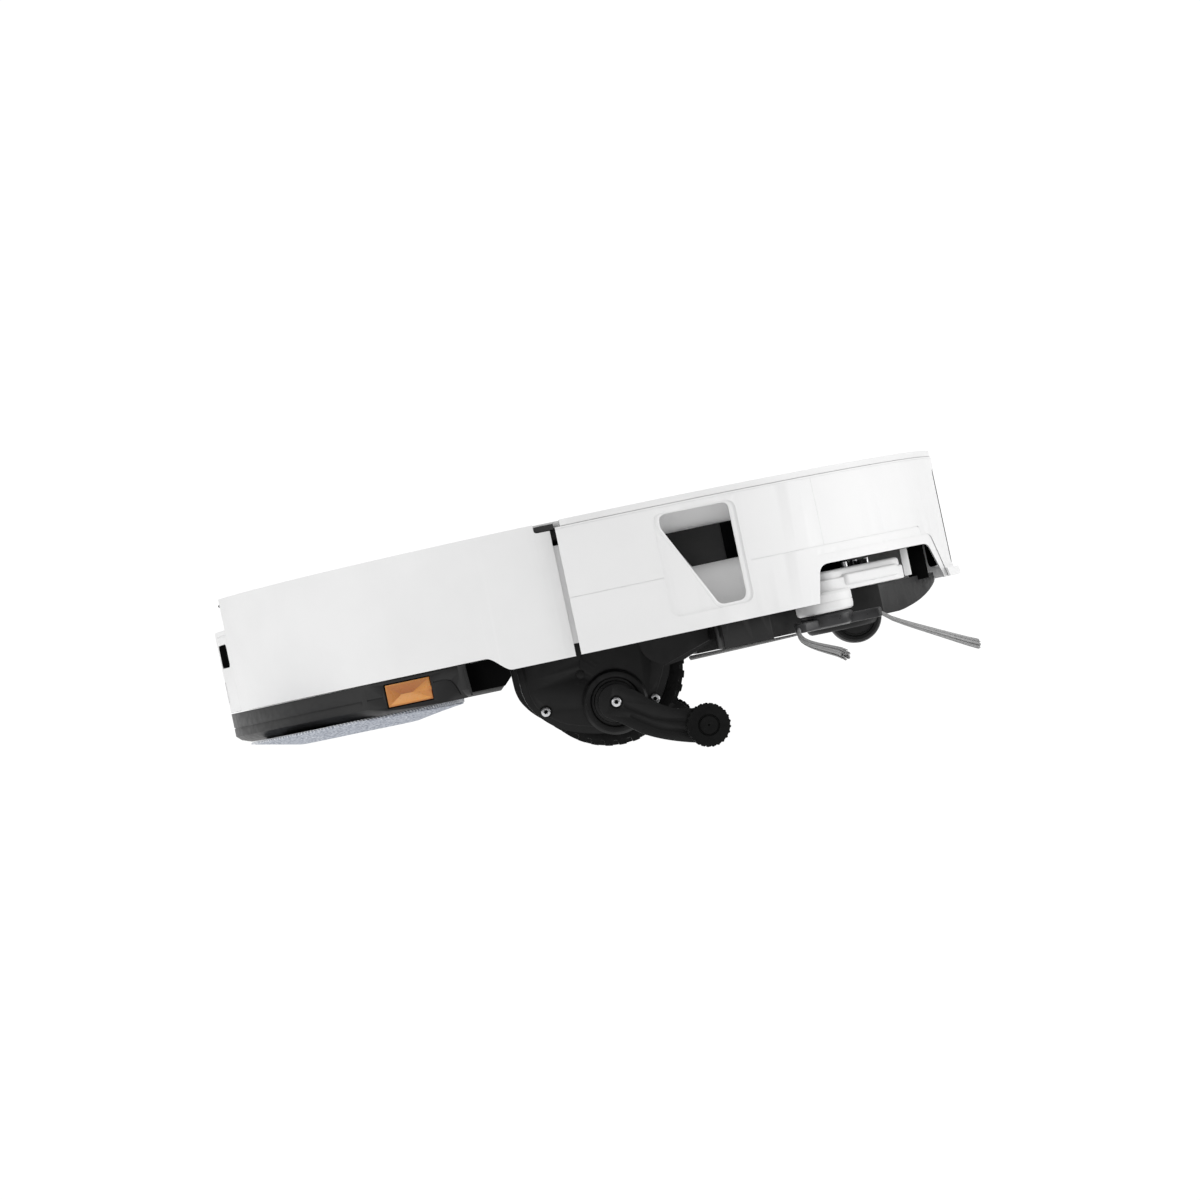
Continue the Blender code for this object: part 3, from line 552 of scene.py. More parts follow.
def mop_fabric():
    """Heathered microfibre: pale and blue-grey loops, matt with a soft sheen."""
    look = Look("mop_fabric")
    heather = look.blend(look.noise(900, 6, (1, 1, 2)), (0.16, 0.18, 0.235),
                         (0.62, 0.65, 0.70), 0.38, 0.60)
    patches = look.span(look.noise(150, 4), 0.0, 0.45)
    look.colour(look.over(patches, heather, (0.42, 0.45, 0.52)))
    look.roughness(look.span(look.noise(800, 3), 0.88, 1.0))
    look.bumps((look.noise(1300, 5, (1, 1, 2)), 0.9, 0.6), (look.cells(800), 0.5, 0.5))
    look.fix(Sheen_Weight=0.15, Sheen_Roughness=0.5, Specular_IOR_Level=0.1)
    return look.material


def thread():
    """White overlock thread, twisted."""
    look = Look("thread")
    look.colour(look.blend(look.noise(1500, 4), (0.62, 0.64, 0.68), (0.86, 0.87, 0.89)))
    look.roughness(look.span(look.noise(900, 3), 0.7, 0.9))
    look.bumps((look.noise(5000, 2, (1, 1, 4)), 0.4, 0.10),)
    look.fix(Sheen_Weight=0.3)
    return look.material


def nylon():
    """Grey nylon bristle, slightly clear."""
    look = Look("nylon")
    look.colour(look.blend(look.noise(2200, 3, (1, 1, 4)), (0.20, 0.20, 0.20),
                           (0.46, 0.46, 0.46)))
    look.roughness(look.span(look.noise(900, 3), 0.30, 0.48))
    look.bumps((look.noise(3000, 2), 0.05, 0.03),)
    look.fix(Transmission_Weight=0.15, IOR=1.5)
    return look.material


def smoke_plastic():
    """Dark see-through plastic of the brush hub and the bin."""
    look = Look("smoke_plastic")
    look.colour(look.blend(look.noise(70, 3), (0.020, 0.020, 0.021), (0.045, 0.045, 0.047)))
    look.roughness(look.span(look.noise(400, 4), 0.26, 0.38))
    look.bumps((look.noise(1500, 2), 0.05, 0.05),)
    look.fix(Transmission_Weight=0.15, IOR=1.49, Specular_IOR_Level=0.25)
    return look.material


def circuit_board():
    """Green board with darker copper runs under its lacquer."""
    look = Look("circuit_board")
    look.colour(look.blend(look.cells(260), (0.015, 0.11, 0.045), (0.03, 0.20, 0.08), 0.3, 0.4))
    look.roughness(look.span(look.noise(300, 3), 0.3, 0.45))
    look.bumps((look.cells(260), 0.3, 0.1),)
    return look.material


def filter_paper():
    """Pleated paper, off-white with grey dust."""
    look = Look("filter_paper")
    look.colour(look.blend(look.noise(160, 6), (0.48, 0.47, 0.43), (0.74, 0.73, 0.68)))
    look.roughness(look.span(look.noise(600, 3), 0.85, 0.98))
    look.bumps((look.noise(2500, 5), 0.5, 0.2),)
    return look.material


WHITE = white_plastic()
BLACK = black_plastic("black_plastic", 0.010, 0.015, (0.38, 0.5), 0.2)
CHARCOAL = black_plastic("charcoal_plastic", 0.013, 0.020, (0.38, 0.52), 0.2)
# a darker copy of the black plastic for the drive covers, wheel hubs and legs: partly their own
# black, partly painted shade
SHADE = black_plastic("satin_black_partly_painted_shade", 0.004, 0.007, (0.34, 0.46), 0.22)
# near-black and matt: the colour of the black inside parts, and painted shade where it lines a
# step, a recess or a socket
DEEP_BLACK_AND_SHADE = black_plastic("deep_black_and_painted_shade", 0.001, 0.002, (0.5, 0.65), 0.03)
GLOSS = gloss_black()
WINDOW = window_black()
RUBBER = rubber()
ORANGE = orange_plastic()
STEEL = steel()
FABRIC = mop_fabric()
THREAD = thread()
NYLON = nylon()
SMOKE = smoke_plastic()
BOARD = circuit_board()
PAPER = filter_paper()


# ---------------------------------------------------------------- shell and panel

def ring_groove(name, radius, z, width, start, end, steps=60, depth=0.35):
    """A cutter for a fine seam running round the body."""
    return prism(name, band(radius - depth, radius + 2, start, end, steps),
                 z - width / 2, z + width / 2)


def skirt_curve():
    """The lower edge of the shell, stepping down in an S ahead of the rear base."""
    rise = SHELL_BOTTOM_Z - SKIRT_BOTTOM_Z
    shares = [i / 20 for i in range(21)]
    return [(-52.8 + 11.0 * s, SHELL_BOTTOM_Z - rise * (3 * s ** 2 - 2 * s ** 3))
            for s in shares]


def shell_outline():
    """The rear shell in plan: two side walls joined by a set-back rear wall."""
    start = angle_at_x(BODY_R, -30.0)
    inner_r = BODY_R - WALL

    def side_angle(half, radius):
        return 180.0 - half_angle(half, radius)

    tip = smooth_line([(-13.7, 170.9), (-18.5, 172.3), (-24.0, 172.8)], 4)
    outer = (tip + arc(BODY_R, start, side_angle(RECESS_HALF, BODY_R), 90)
             + arc(RECESS_R, side_angle(RECESS_HALF, RECESS_R), 180.0, 16))
    wide = RECESS_HALF + WALL
    inner = (arc(RECESS_R - WALL, 180.0, side_angle(wide, RECESS_R - WALL), 16)[1:]
             + arc(inner_r, side_angle(wide, inner_r), start, 90)
             + [(x, y - WALL) for x, y in reversed(tip)])
    half = outer[:-1] + [(-RECESS_R, 0.0)]
    return half + mirrored(half[:-1]) + mirrored(inner) + inner


def make_shell():
    """The white wall round the rear half."""
    shell = prism("rear_shell_wall", shell_outline(), SKIRT_BOTTOM_Z, TOP_Z)
    below = [(-200.0, SHELL_BOTTOM_Z)] + skirt_curve() + [(-41.8, 0.0), (-200.0, 0.0)]
    notch = rounded(rectangle(-20.8, 10.0, 66.6, 90.0), [1.6, 0.2, 0.2, 0.2])
    cut(shell, prism("below", below, -200.0, 200.0, "y"),
        prism("notch", notch, -200.0, 200.0, "y"))
    dress(soften(shell, 0.7), "chassis", ["rear_shell"], WHITE)


def make_panel():
    """The bulged rear panel with its seam, window, contacts and lip."""
    edge = half_angle(RECESS_HALF - GAP, BODY_R)
    plan = band(RECESS_R + GAP, BODY_R, 180 - edge, 180 + edge, 48)
    panel = prism("rear_panel_cover", plan, SHELL_BOTTOM_Z + GAP, 56.0)
    opening = rounded(rectangle(-46.3, -21.7, 38.7, 49.6), 2.2)
    tools = [prism("window_cut", opening, -180.0, -167.0, "x"),
             ring_groove("panel_seam", BODY_R, 53.5, 0.5, 160, 200, 40)]
    for side, sign in SIDES.items():
        middle = 180.0 + sign * CONTACT_ANGLE
        tools.append(prism("contact_cut", band(172.6, 180, middle - 2.4, middle + 2.4, 8),
                           22.7, 32.3))
    cut(panel, *tools)
    dress(soften(panel, 0.5), "chassis", ["rear_panel"], WHITE)

    window = prism("rear_window_glass", band(171.9, BODY_R - 0.2, 184, 198, 24), 39.0, 49.3)
    outline = rounded(rectangle(-46.0, -22.0, 39.0, 49.3), 2.0)
    meet(window, prism("window_shape", outline, -180.0, -160.0, "x"))
    dress(soften(window, 0.35, 2), "chassis", ["rear_ir_window"], WINDOW)

    for side, sign in SIDES.items():
        middle = 180.0 + sign * CONTACT_ANGLE
        plate = prism("contact_plate_" + side,
                      band(173.0, 174.6, middle - 2.25, middle + 2.25, 8), 23.0, 32.0)
        dress(soften(plate, 0.4), "chassis", ["charging_contact_" + side], STEEL)

    tip = smooth_line([(-167.0, 66.25), (-168.8, 66.9), (-169.85, 68.0), (-168.9, 69.0),
                       (-167.0, 69.35)], 5)
    lip = prism("rear_lip_edge", tip, -20.0, 20.0, "y")
    dress(soften(lip, 0.2, 2), "chassis", ["rear_lip"], BLACK)


# ---------------------------------------------------------------- base

def rear_base_outline(inset=0.0):
    """The rear base in plan, stepped in beside the skirt, optionally drawn in all round."""
    outer = BODY_R - inset
    inner = 168.0 - inset
    full = angle_at_x(outer, -62.0 - inset * 0.3)
    front = angle_at_x(inner, -43.0)
    step = angle_at_x(inner, -62.0 - inset * 0.3)
    right = arc(inner, -front, -step, 8)
    return right + arc(outer, -full, full - 360, 160) + mirrored(right)


def on_facet(along, out):
    """A point in plan measured from the rear end of the base's flat side facet."""
    heading = math.atan2(FACET_END[1] - FACET_START[1], FACET_END[0] - FACET_START[0])
    return (FACET_START[0] + along * math.cos(heading) + out * math.sin(heading),
            FACET_START[1] + along * math.sin(heading) - out * math.cos(heading))


def facet_prism(name, outline, deep, proud):
    """An (along, z) outline on the side facet, pushed from inside it to outside it."""
    return loft(name, [[(*on_facet(u, out), v) for u, v in outline] for out in (deep, proud)])


def make_rear_block():
    """The rear of the base: chamfered foot, side facet, insert pocket and seams."""
    levels = [(rear_base_outline(6.6), REAR_BASE_Z), (rear_base_outline(2.4), 4.1),
              (rear_base_outline(0.0), 6.3), (rear_base_outline(0.0), BASE_TOP_Z)]
    block = stacked("base_moulding", levels)
    facet = [on_facet(0.0, 0.0), on_facet(49.1, 0.0), on_facet(49.1, 30.0), on_facet(0.0, 30.0)]
    cut(block, prism("side_facet", facet, 0.0, 20.0))
    low, high = INSERT_ALONG
    pocket = rectangle(low - 0.6, high + 0.6, INSERT_Z[0] - 0.6, INSERT_Z[1] + 0.6)
    cut(block, facet_prism("insert_pocket", rounded(pocket, 0.6), -6.0, 9.0))
    line = smooth_line([(33.6, 12.4), (39.2, 12.4), (42.2, 11.2), (44.2, 8.0), (45.4, 4.4)], 4)
    cut(block, ring_groove("waist", BODY_R, 10.3, 0.5, 100, 231, 140, 0.45),
        facet_prism("facet_waist", rectangle(0.6, low - 1.6, 10.05, 10.55), -0.5, 3.0),
        facet_prism("panel_line", ribbon(line, 0.25), -0.5, 3.0))
    return block


def brush_centre(turn):
    """Where the side brush stands after its arm has swung out."""
    reach = math.hypot(BRUSH[0] - BRUSH_PIVOT[0], BRUSH[1] - BRUSH_PIVOT[1])
    start = math.degrees(math.atan2(BRUSH[1] - BRUSH_PIVOT[1], BRUSH[0] - BRUSH_PIVOT[0]))
    return polar(reach, start + turn, BRUSH_PIVOT)


def base_tools():
    """What is cut out of the whole base: the ramp, wells and recesses."""
    slope = [(137.0, 0.0)] + smooth_line([(140.0, 0.4), (147.5, 2.3), (154.5, 5.1),
                                          (161.5, 9.1), (163.0, 10.3)], 6)
    tools = [prism("ramp", slope + [(180.0, 10.3), (180.0, -6.0), (137.0, -6.0)],
                   -200.0, 200.0, "y")]
    for sign in SIDES.values():
        outline = rectangle(-42.2, 52.0, *outward(sign, 94.5, 190.0))
        tools.append(prism("well", outline, -10.0, 20.0))
    corner = [(-49.4, 0.0), (-49.4, 2.0), (-43.0, 8.2), (-41.0, 8.2), (-41.0, 0.0)]
    tools.append(prism("block_chamfer", corner, -200.0, 200.0, "y"))
    half = MOP_SWING / 2 + 13.0
    sweep = (arc(71.0, 180 - half, 180 + half, 30, MOP_PIVOT)
             + arc(13.0, -70, 70, 16, MOP_PIVOT))
    tools.append(prism("arm_recess", sweep, 0.0, 10.0))
    tools.append(cylinder("mop_recess", 9.0, 0.0, 10.0, (MOP_X, MOP_Y["left"], 0.0)))
    return tools


def front_tools():
    """What is cut out of the front block: brush bay, caster bay and room for the side brush."""
    bay = rectangle(GUARD_X[0] + 3.6, GUARD_X[1] - 1.4, -84.0, 84.0)
    recess = rectangle(GUARD_X[0] - GAP, GUARD_X[1] + GAP, -GUARD_HALF - GAP, GUARD_HALF + GAP)
    tools = [prism("brush_bay", bay, -1.0, 15.4), prism("guard_bay", recess, -1.0, 3.3),
             cylinder("caster_bay", 20.6, -10.0, 20.0, (CASTER_PIVOT_X, 0, 0), steps=64)]
    for share in (0.0, 0.5, 1.0):
        tools.append(cylinder("hub_bay", 34.0, -1.0, 20.0, (*brush_centre(20 * share), 0.0),
                              steps=72))
    return tools


def make_base():
    """The black base: rear block, tray and front block, with a near-black sheet on the wall of its
    step as painted shade.
    """
    base = make_rear_block()
    edge = angle_at_x(TRAY_R, GUARD_X[0] - 3.0)
    roof = rectangle(GUARD_X[0] + 1.4, GUARD_X[1] + 1.0, -86.0, 86.0)
    join(base, prism("tray", circle(TRAY_R, 128), 11.0, 14.0))
    join(base, prism("front", arc(TRAY_R, -edge, edge, 90), 0.0, 12.0))
    cut(base, *base_tools())
    join(base, prism("brush_bay_roof", roof, 10.0, 17.4))
    cut(base, *front_tools())
    dress(soften(base, 0.4, 2), "chassis", ["chassis_base"], BLACK)
    # painted shade: a near-black sheet on the stepped-in wall under the shell's skirt
    back = angle_at_x(168.0, -61.6)
    wall = prism("base_step_painted_shade", band(167.9, 168.3, -back, -angle_at_x(168.0, -43.3), 12),
                 4.4, BASE_TOP_Z - 0.2)
    cut(wall, prism("corner", [(-49.0, 2.0), (-42.0, 9.0), (-40.0, 2.0)], -200.0, -100.0, "y"))
    dress(smooth(wall), "chassis", [], DEEP_BLACK_AND_SHADE)
    rib = prism("base_rib", ribbon([(-61.8, 3.2), (-62.6, 16.8)], 0.5), -164.6, -160.0, "y")
    dress(soften(rib, 0.2, 2), "chassis", [], CHARCOAL)


def make_insert():
    """The orange insert: a rim round a hipped dish, with a small tab at its front."""
    (left, right), (low, high) = INSERT_ALONG, INSERT_Z
    rim, face, floor = 0.7, -0.4, -2.9
    shape = bmesh.new()

    def corners(inset, out):
        outline = rectangle(left + inset, right - inset, low + inset, high - inset)
        return [shape.verts.new((*on_facet(u, out), v)) for u, v in outline]
    back, edge, lip = corners(0.0, -5.2), corners(0.0, face), corners(rim, face)
    ridge = [shape.verts.new((*on_facet(left + reach, floor), 10.1)) for reach in (6.0, 11.6)]
    shape.faces.new(back)
    for i in range(4):
        j = (i + 1) % 4
        shape.faces.new((back[i], back[j], edge[j], edge[i]))
        shape.faces.new((edge[i], edge[j], lip[j], lip[i]))
    shape.faces.new((lip[0], lip[1], ridge[1], ridge[0]))
    shape.faces.new((lip[1], lip[2], ridge[1]))
    shape.faces.new((lip[2], lip[3], ridge[0], ridge[1]))
    shape.faces.new((lip[3], lip[0], ridge[0]))
    insert = new_object(shape, "orange_insert")
    tab = rounded(rectangle(right - 1.6, right + 0.35, 9.3, 11.3), 0.4)
    join(insert, facet_prism("tab", tab, -3.0, -0.1))
    dress(soften(insert, 0.18, 2), "chassis", ["side_insert"], ORANGE)


def make_deck():
    """The deck under the cover, with the steps that show in the finger notches."""
    deck = prism("deck_plate", circle(165.5, 160), 63.0, 66.3)
    hole = rounded(rectangle(BIN_X[0] - 0.6, BIN_X[1] + 0.6, -BIN_HALF - 0.6, BIN_HALF + 0.6),
                   1.0)
    edge = half_angle(54.0, COVER_REAR_R)
    cut(deck, prism("rear_room", band(COVER_REAR_R, 190, 180 - edge, 180 + edge, 30), 60, 70),
        prism("bin_hole", hole, 60.0, 70.0),
        prism("bay_notch", rectangle(31.0, 69.0, -175.0, -146.0), 60.0, 70.0),
        cylinder("turret_hole", 47.2, 60, 70, TURRET, steps=96))
    parts = []
    for sign in SIDES.values():
        for name, reach, height in (("foot", (160.0, 164.0), (65.0, 68.0)),
                                    ("step", (159.8, 171.3), (66.9, 69.4))):
            outline = rectangle(-20.4, -11.8, *outward(sign, *reach))
            parts.append(prism(name, outline, *height))
    join(deck, *parts)
    dress(soften(deck, 0.35, 2), "chassis", ["top_deck"], CHARCOAL)


# ---------------------------------------------------------------- bumper and cover

def side_window(grow=0.0):
    """The slanted side opening, optionally grown all round."""
    corners = [(34.0 - grow, 63.4 + grow), (65.6 + grow, 63.4 + grow), (65.6 + grow, 19.6 - grow),
               (53.0 - grow * 0.6, 19.6 - grow), (34.0 - grow, 57.6)]
    return rounded(corners, [3.6, 3.2 + grow, 4.2 + grow, 4.0 + grow, 5.0 + grow], 8)


def brush_notch(grow=0.0):
    """The opening over the side brush, optionally grown all round."""
    corners = [(97.2 - grow, 5.0), (97.9 - grow, 10.8), (101.6 - grow, 27.7 + grow),
               (157.8 + grow * 0.6, 27.7 + grow), (164.4 + grow * 0.6, 10.8),
               (165.0 + grow * 0.6, 5.0)]
    return rounded(corners, [0.3, 8.0, 5.0 + grow * 0.6, 3.6, 8.0, 0.3], 8)


def on_skin(outline, radius):
    """An (x, z) outline wrapped on the right side of the round body."""
    return [(x, -math.sqrt(radius ** 2 - x ** 2), z) for x, z in outline]


def bumper_tools():
    """Openings, recessed frames and seams of the bumper."""
    skin = angle_at_x(BODY_R, BUMPER_REAR_X) + 3
    tools = [prism("side_opening", side_window(), -190.0, -140.0, "y"),
             prism("brush_opening", brush_notch(), -190.0, -30.0, "y")]
    shelf = rounded(rectangle(31.0, 68.7, 18.1, 64.1), 4.6, 8)
    for name, outline, floor in (("frame_recess", shelf, 174.3),
                                 ("brush_frame", brush_notch(4.4), 174.55)):
        tool = prism(name, outline, -190.0, -30.0, "y")
        skin_ring = band(floor, 190, -100, -10, 160)
        tools.append(meet(tool, prism("skin", skin_ring, 0.0, 80.0)))
    tools.append(ring_groove("lid_seam", BODY_R, 66.6, 0.35, -skin, skin, 180, 0.2))
    for start, end in ((-94.2, -79.8), (-66.2, -28.0), (28.0, 94.2)):
        tools.append(ring_groove("middle_seam", BODY_R, 36.0, 0.32, start, end, 60, 0.28))
    tools.append(prism("upright_seam", rectangle(105.35, 105.65, 36.0, 66.6), -141.0, -139.6,
                       "y"))
    opening = rounded(rectangle(-FRONT_HALF, FRONT_HALF, 16.4, 61.7), 5.0, 8)
    tools.append(prism("front_opening", opening, 120.0, 190.0, "x"))
    return tools


def make_window_rim():
    """The rolled lip round the side opening."""
    profile = [(0.0, 172.9), (0.0, 174.0), (0.3, 174.4), (0.8, 174.58), (1.5, 174.5),
               (2.2, 174.2), (1.8, 173.4)]
    rim = loft("side_opening_rim", [on_skin(side_window(grow), radius)
                                    for grow, radius in profile], ring=True)
    dress(smooth(rim), "bumper", [], WHITE)


def make_bumper():
    """The white bumper: framed openings, seams, foot, rear tongues, ledge and front glass."""
    reach = angle_at_x(BODY_R, BUMPER_REAR_X)
    shell = prism("bumper_wall", band(BODY_R - WALL, BODY_R, -reach, reach, 200), *BUMPER_Z)
    parts = [prism("foot", band(BODY_R - WALL, 177.6, -25, 25, 60), BUMPER_Z[0], 14.8)]
    for side, sign in SIDES.items():
        strip = [(-14.6, 166.0), (-9.0, 166.0), (-9.0, 172.9), (-11.2, 172.9),
                 (-11.2, 167.9), (-14.6, 167.9)]
        outline = strip if sign > 0 else mirrored(strip)
        parts.append(prism("tongue_" + side, outline, 16.1, 59.8))
    join(shell, *parts)
    cut(shell, *bumper_tools())
    dress(soften(shell, 0.5), "bumper", ["bumper_shell"], WHITE)
    make_window_rim()
    ledge = prism("seam_ledge", band(171.0, 174.2, -93.0, 93.0, 160), BUMPER_Z[1] - 0.3,
                  COVER_Z - 0.08)
    dress(ledge, "bumper", [], WHITE)

    half = FRONT_HALF - GAP
    edge = half_angle(half, GLASS_R)
    glass = prism("front_glass", band(GLASS_R - 2.7, GLASS_R, -edge, edge, 60), *GLASS_Z)
    meet(glass, prism("glass_shape", rounded(rectangle(-half, half, *GLASS_Z), 4.8, 8),
                      120.0, 190.0, "x"))
    dress(soften(glass, 0.5), "bumper", ["front_window"], WINDOW)


def make_sensor_bay():
    """The white bay behind the side opening and its dark sensor window."""
    tub = [(31.0, 57.0), (35.0, 65.6), (69.0, 65.6), (69.0, 16.4), (52.0, 16.4), (50.5, 22.0)]
    inner = [(32.6, 57.6), (36.0, 64.6), (67.4, 64.6), (67.4, 18.0), (52.8, 18.0), (51.6, 21.6)]
    bay = prism("sensor_bay_wall", tub, -172.0, -147.0, "y")
    cut(bay, prism("bay_hollow", rounded(inner, [1.6, 2.0, 6.0, 3.0, 1.6, 1.6]),
                   -175.0, -149.0, "y"))
    meet(bay, prism("bumper_room", circle(171.0, 160), 10.0, 65.6))
    dress(soften(bay, 0.4, 2), "chassis", ["side_sensor_bay"], WHITE)
    strip = [(45.2, 38.6), (66.6, 38.6), (66.6, 55.2), (36.0, 55.2)]
    window = prism("sensor_window_glass", strip, -152.0, -149.3, "y")
    cut(window, prism("emitter_slot", rectangle(60.9, 70.0, 30.0, 60.0), -153.0, -151.2, "y"))
    dress(soften(window, 0.25, 2), "chassis", ["side_sensor_window"], BLACK)
    eye = prism("sensor_eye", rectangle(61.1, 66.4, 38.9, 54.9), -151.9, -151.25, "y")
    dress(soften(eye, 0.2, 2), "chassis", [], WINDOW)


def cover_outline():
    """The top cover in plan: flush over the bumper, inside the rear shell, with notches."""
    front = angle_at_x(174.7, -8.9)
    rear_r = 171.0
    corner = 180.0 - half_angle(53.4, rear_r)
    back = 180.0 - half_angle(53.4, COVER_REAR_R)
    walls = arc(rear_r, angle_at_x(rear_r, -22.0), corner, 70)
    left = (arc(174.7, 0.0, front, 100)[1:] + [(-8.9, 159.4), (-22.0, 159.4)] + walls
            + arc(COVER_REAR_R, back, 180.0, 20))
    return [(174.7, 0.0)] + left[:-1] + [(-COVER_REAR_R, 0.0)] + mirrored(left[:-1])


def make_cover():
    """The lift-off cover, and the two buttons in it."""
    lid = prism("cover_plate", cover_outline(), COVER_Z, TOP_Z)
    tools = [cylinder("turret_hole", 46.5, 60, 80, TURRET, steps=128),
             turned("turret_seam", [(52.0, 70.15), (52.5, 70.15), (52.5, 72), (52.0, 72)],
                    TURRET, steps=128, ring=True),
             prism("grip_line", rounded(rectangle(118.0, 126.0, -22.0, 22.0), 3.8), 70.0, 72.0)]
    for y in BUTTON_Y.values():
        tools.append(cylinder("button_hole", 7.4, 60, 80, (BUTTON_X, y, 0), steps=64))
    cut(lid, *tools)
    dress(soften(lid, 0.6), "cover", ["top_cover"], WHITE)
    profile = [(0, 67.65), (6.8, 67.65), (7.0, 67.9), (7.0, 69.4), (6.8, 69.85), (6.2, 70.1),
               (5.0, 70.16), (4.4, 70.0), (0, 69.9)]
    for name, y in BUTTON_Y.items():
        button = turned(name + "_button_cap", profile, (BUTTON_X, y, 0.0), steps=64)
        dress(smooth(button), name + "_button", [name + "_button"], WHITE)


def make_turret():
    """The retracting turret with its posts, and the rotor inside it."""
    top = [(0, 70.4), (30.0, 70.4), (30.3, 70.2), (30.7, 70.2), (31.0, 70.4), (45.0, 70.4),
           (45.6, 70.1), (45.8, 69.4), (45.8, 67.6), (45.4, 67.4), (0, 67.4)]
    cap = turned("turret_dome", top, TURRET, steps=128)
    ring = turned("turret_foot", [(41.0, 46.2), (TURRET_R, 46.2), (TURRET_R, 49.2), (41.0, 49.2)],
                  TURRET, steps=128, ring=True)
    posts = []
    for i in range(4):
        heading = 45 + 90 * i
        outline = [(x + TURRET[0], y) for x, y in band(41.5, 45.3, heading - 7, heading + 7, 6)]
        posts.append(prism("post", outline, 48.0, 68.5))
    join(cap, ring, *posts)
    dress(soften(cap, 0.2, 2), "turret", ["turret_cap"], WHITE)
    profile = [(0, 46.6), (35.6, 46.6), (36.0, 47.0), (36.0, 51.0), (35.2, 52.0), (33.4, 53.2),
               (33.0, 54.0), (33.0, 63.0), (32.0, 64.4), (8.0, 66.4), (0, 66.6)]
    rotor = turned("lidar_drum", profile, TURRET, steps=96)
    lens = rectangle(TURRET[0] + 30.0, TURRET[0] + 40.0, -14.0, 14.0)
    cut(rotor, prism("lens_slot", lens, 55.0, 62.0))
    dress(soften(rotor, 0.3, 2), "lidar", ["lidar_rotor"], GLOSS)


# ---------------------------------------------------------------- drive and legs

def housing_outline(inset=0.0):
    """The drive module's cover seen from the side, optionally drawn in from its curved edge."""
    curve = smooth_line([(-40.0 + inset, 4.0), (-39.6 + inset, -2.0), (-37.6 + inset * 0.95, -8.0),
                         (-32.4 + inset * 0.8, -14.9 + inset * 0.4),
                         (-25.4 + inset * 0.6, -20.2 + inset * 0.7),
                         (-16.0 + inset * 0.3, -23.9 + inset), (-6.0, -26.0 + inset),
                         (2.6, -26.4 + inset), (12.0 - inset * 0.4, -22.8 + inset),
                         (19.8 - inset * 0.8, -16.4 + inset * 0.7),
                         (25.4 - inset, -7.0 + inset * 0.3), (27.3 - inset, -1.8)], 6)
    return ([(-40.0 + inset, 40.7)] + curve
            + [(34.0 - inset, -1.0 + inset * 0.4), (50.0 - inset, 5.2), (50.0 - inset, 40.7)])


def make_module(side, sign):
    """The drive module's cover with its raised plate, panel lines, frame and screws."""
    cover = prism("module_cover_" + side, housing_outline(), *outward(sign, 126.0, 134.6), "y")
    plate = housing_outline(3.0)
    bridge = rectangle(-39.5, 42.0, 37.4, 40.7)
    inner = rounded([(-30.0, 40.0), (-30.0, 6.0), (-16.0, -12.0), (16.0, -12.0), (30.0, 6.0),
                     (30.0, 40.0)], 3.0)
    raised = prism("raised_plate", plate, *outward(sign, 133.0, 136.9), "y")
    soften(raised, 0.7)
    join(cover, raised, prism("bridge", bridge, *outward(sign, 96.5, 127.0), "y"),
         prism("inner_plate", inner, *outward(sign, 96.5, 99.5), "y"))
    line = smooth_line([(-12.2, 4.4), (-12.0, 8.0), (-10.0, 12.0), (-9.6, 24.0)], 5)
    curl = smooth_line([(15.4, 24.0), (15.2, 12.0), (16.2, 6.0), (19.4, 1.4)], 5)
    tools = [prism("line", ribbon(line, 0.25), *outward(sign, 136.4, 138.0), "y"),
             prism("curl", ribbon(curl, 0.25), *outward(sign, 136.4, 138.0), "y"),
             turned("cap_ring", [(1.7, sign * 136.3), (2.3, sign * 136.3), (2.3, sign * 138.0),
                                 (1.7, sign * 138.0)], (-12.7, 0, 2.2), "y", 32, True)]
    for x, z in COVER_SCREWS:
        tools.append(cylinder("screw_seat", 3.0, *outward(sign, 135.6, 139.0), (x, 0, z), "y", 32))
    cut(cover, *tools)
    dress(soften(cover, 0.3, 2), "module_" + side, ["module_housing_" + side], SHADE)
    for number, place in enumerate(COVER_SCREWS, 1):
        label = "%s_%d" % (side, number)
        screw = make_screw("cover_screw_" + label, place, sign, COVER_SCREW_Y)
        dress(screw, "module_" + side, ["housing_screw_" + label], STEEL)
        make_socket_shade("cover_socket_shade_" + label, place, sign, COVER_SCREW_Y, "module_" + side)


def make_screw(name, place, sign, seat):
    """A small domed screw head with a six-lobed socket."""
    profile = [(0, sign * (seat - 0.6)), (2.05, sign * (seat - 0.6)), (2.2, sign * seat),
               (2.1, sign * (seat + 0.45)), (1.6, sign * (seat + 0.85)),
               (0.9, sign * (seat + 1.0)), (0, sign * (seat + 1.05))]
    head = turned(name, profile, (place[0], 0, place[1]), "y", 40)
    lobes = [polar(0.95 + 0.17 * math.cos(math.radians(6 * angle)), angle, place)
             for angle in range(0, 360, 6)]
    cut(head, prism("socket", lobes, *outward(sign, seat + 0.1, seat + 2.0), "y"))
    return smooth(head)


def make_socket_shade(name, place, sign, seat, body):
    """A near-black disc in the bottom of a screw's socket: painted shade."""
    # painted shade: the bottom of the socket is coloured near-black
    floor = turned(name, [(0, sign * (seat + 0.1)), (1.0, sign * (seat + 0.1)),
                          (1.0, sign * (seat + 0.3)), (0, sign * (seat + 0.3))],
                   (place[0], 0, place[1]), "y", 24)
    dress(floor, body, [], DEEP_BLACK_AND_SHADE)


def tread_mesh(name, centre, rings, radius_at, steps):
    """A closed tyre: rings of (radius or "tread", across), with a radius rule for the tread."""
    loops = []
    for kind, across in rings:
        loop = []
        for i in range(steps):
            angle = 360.0 * i / steps
            x, z = polar(radius_at(kind, across, angle), angle)
            loop.append((centre[0] + x, centre[1] + across, centre[2] + z))
        loops.append(loop)
    return loft(name, loops, ring=True)


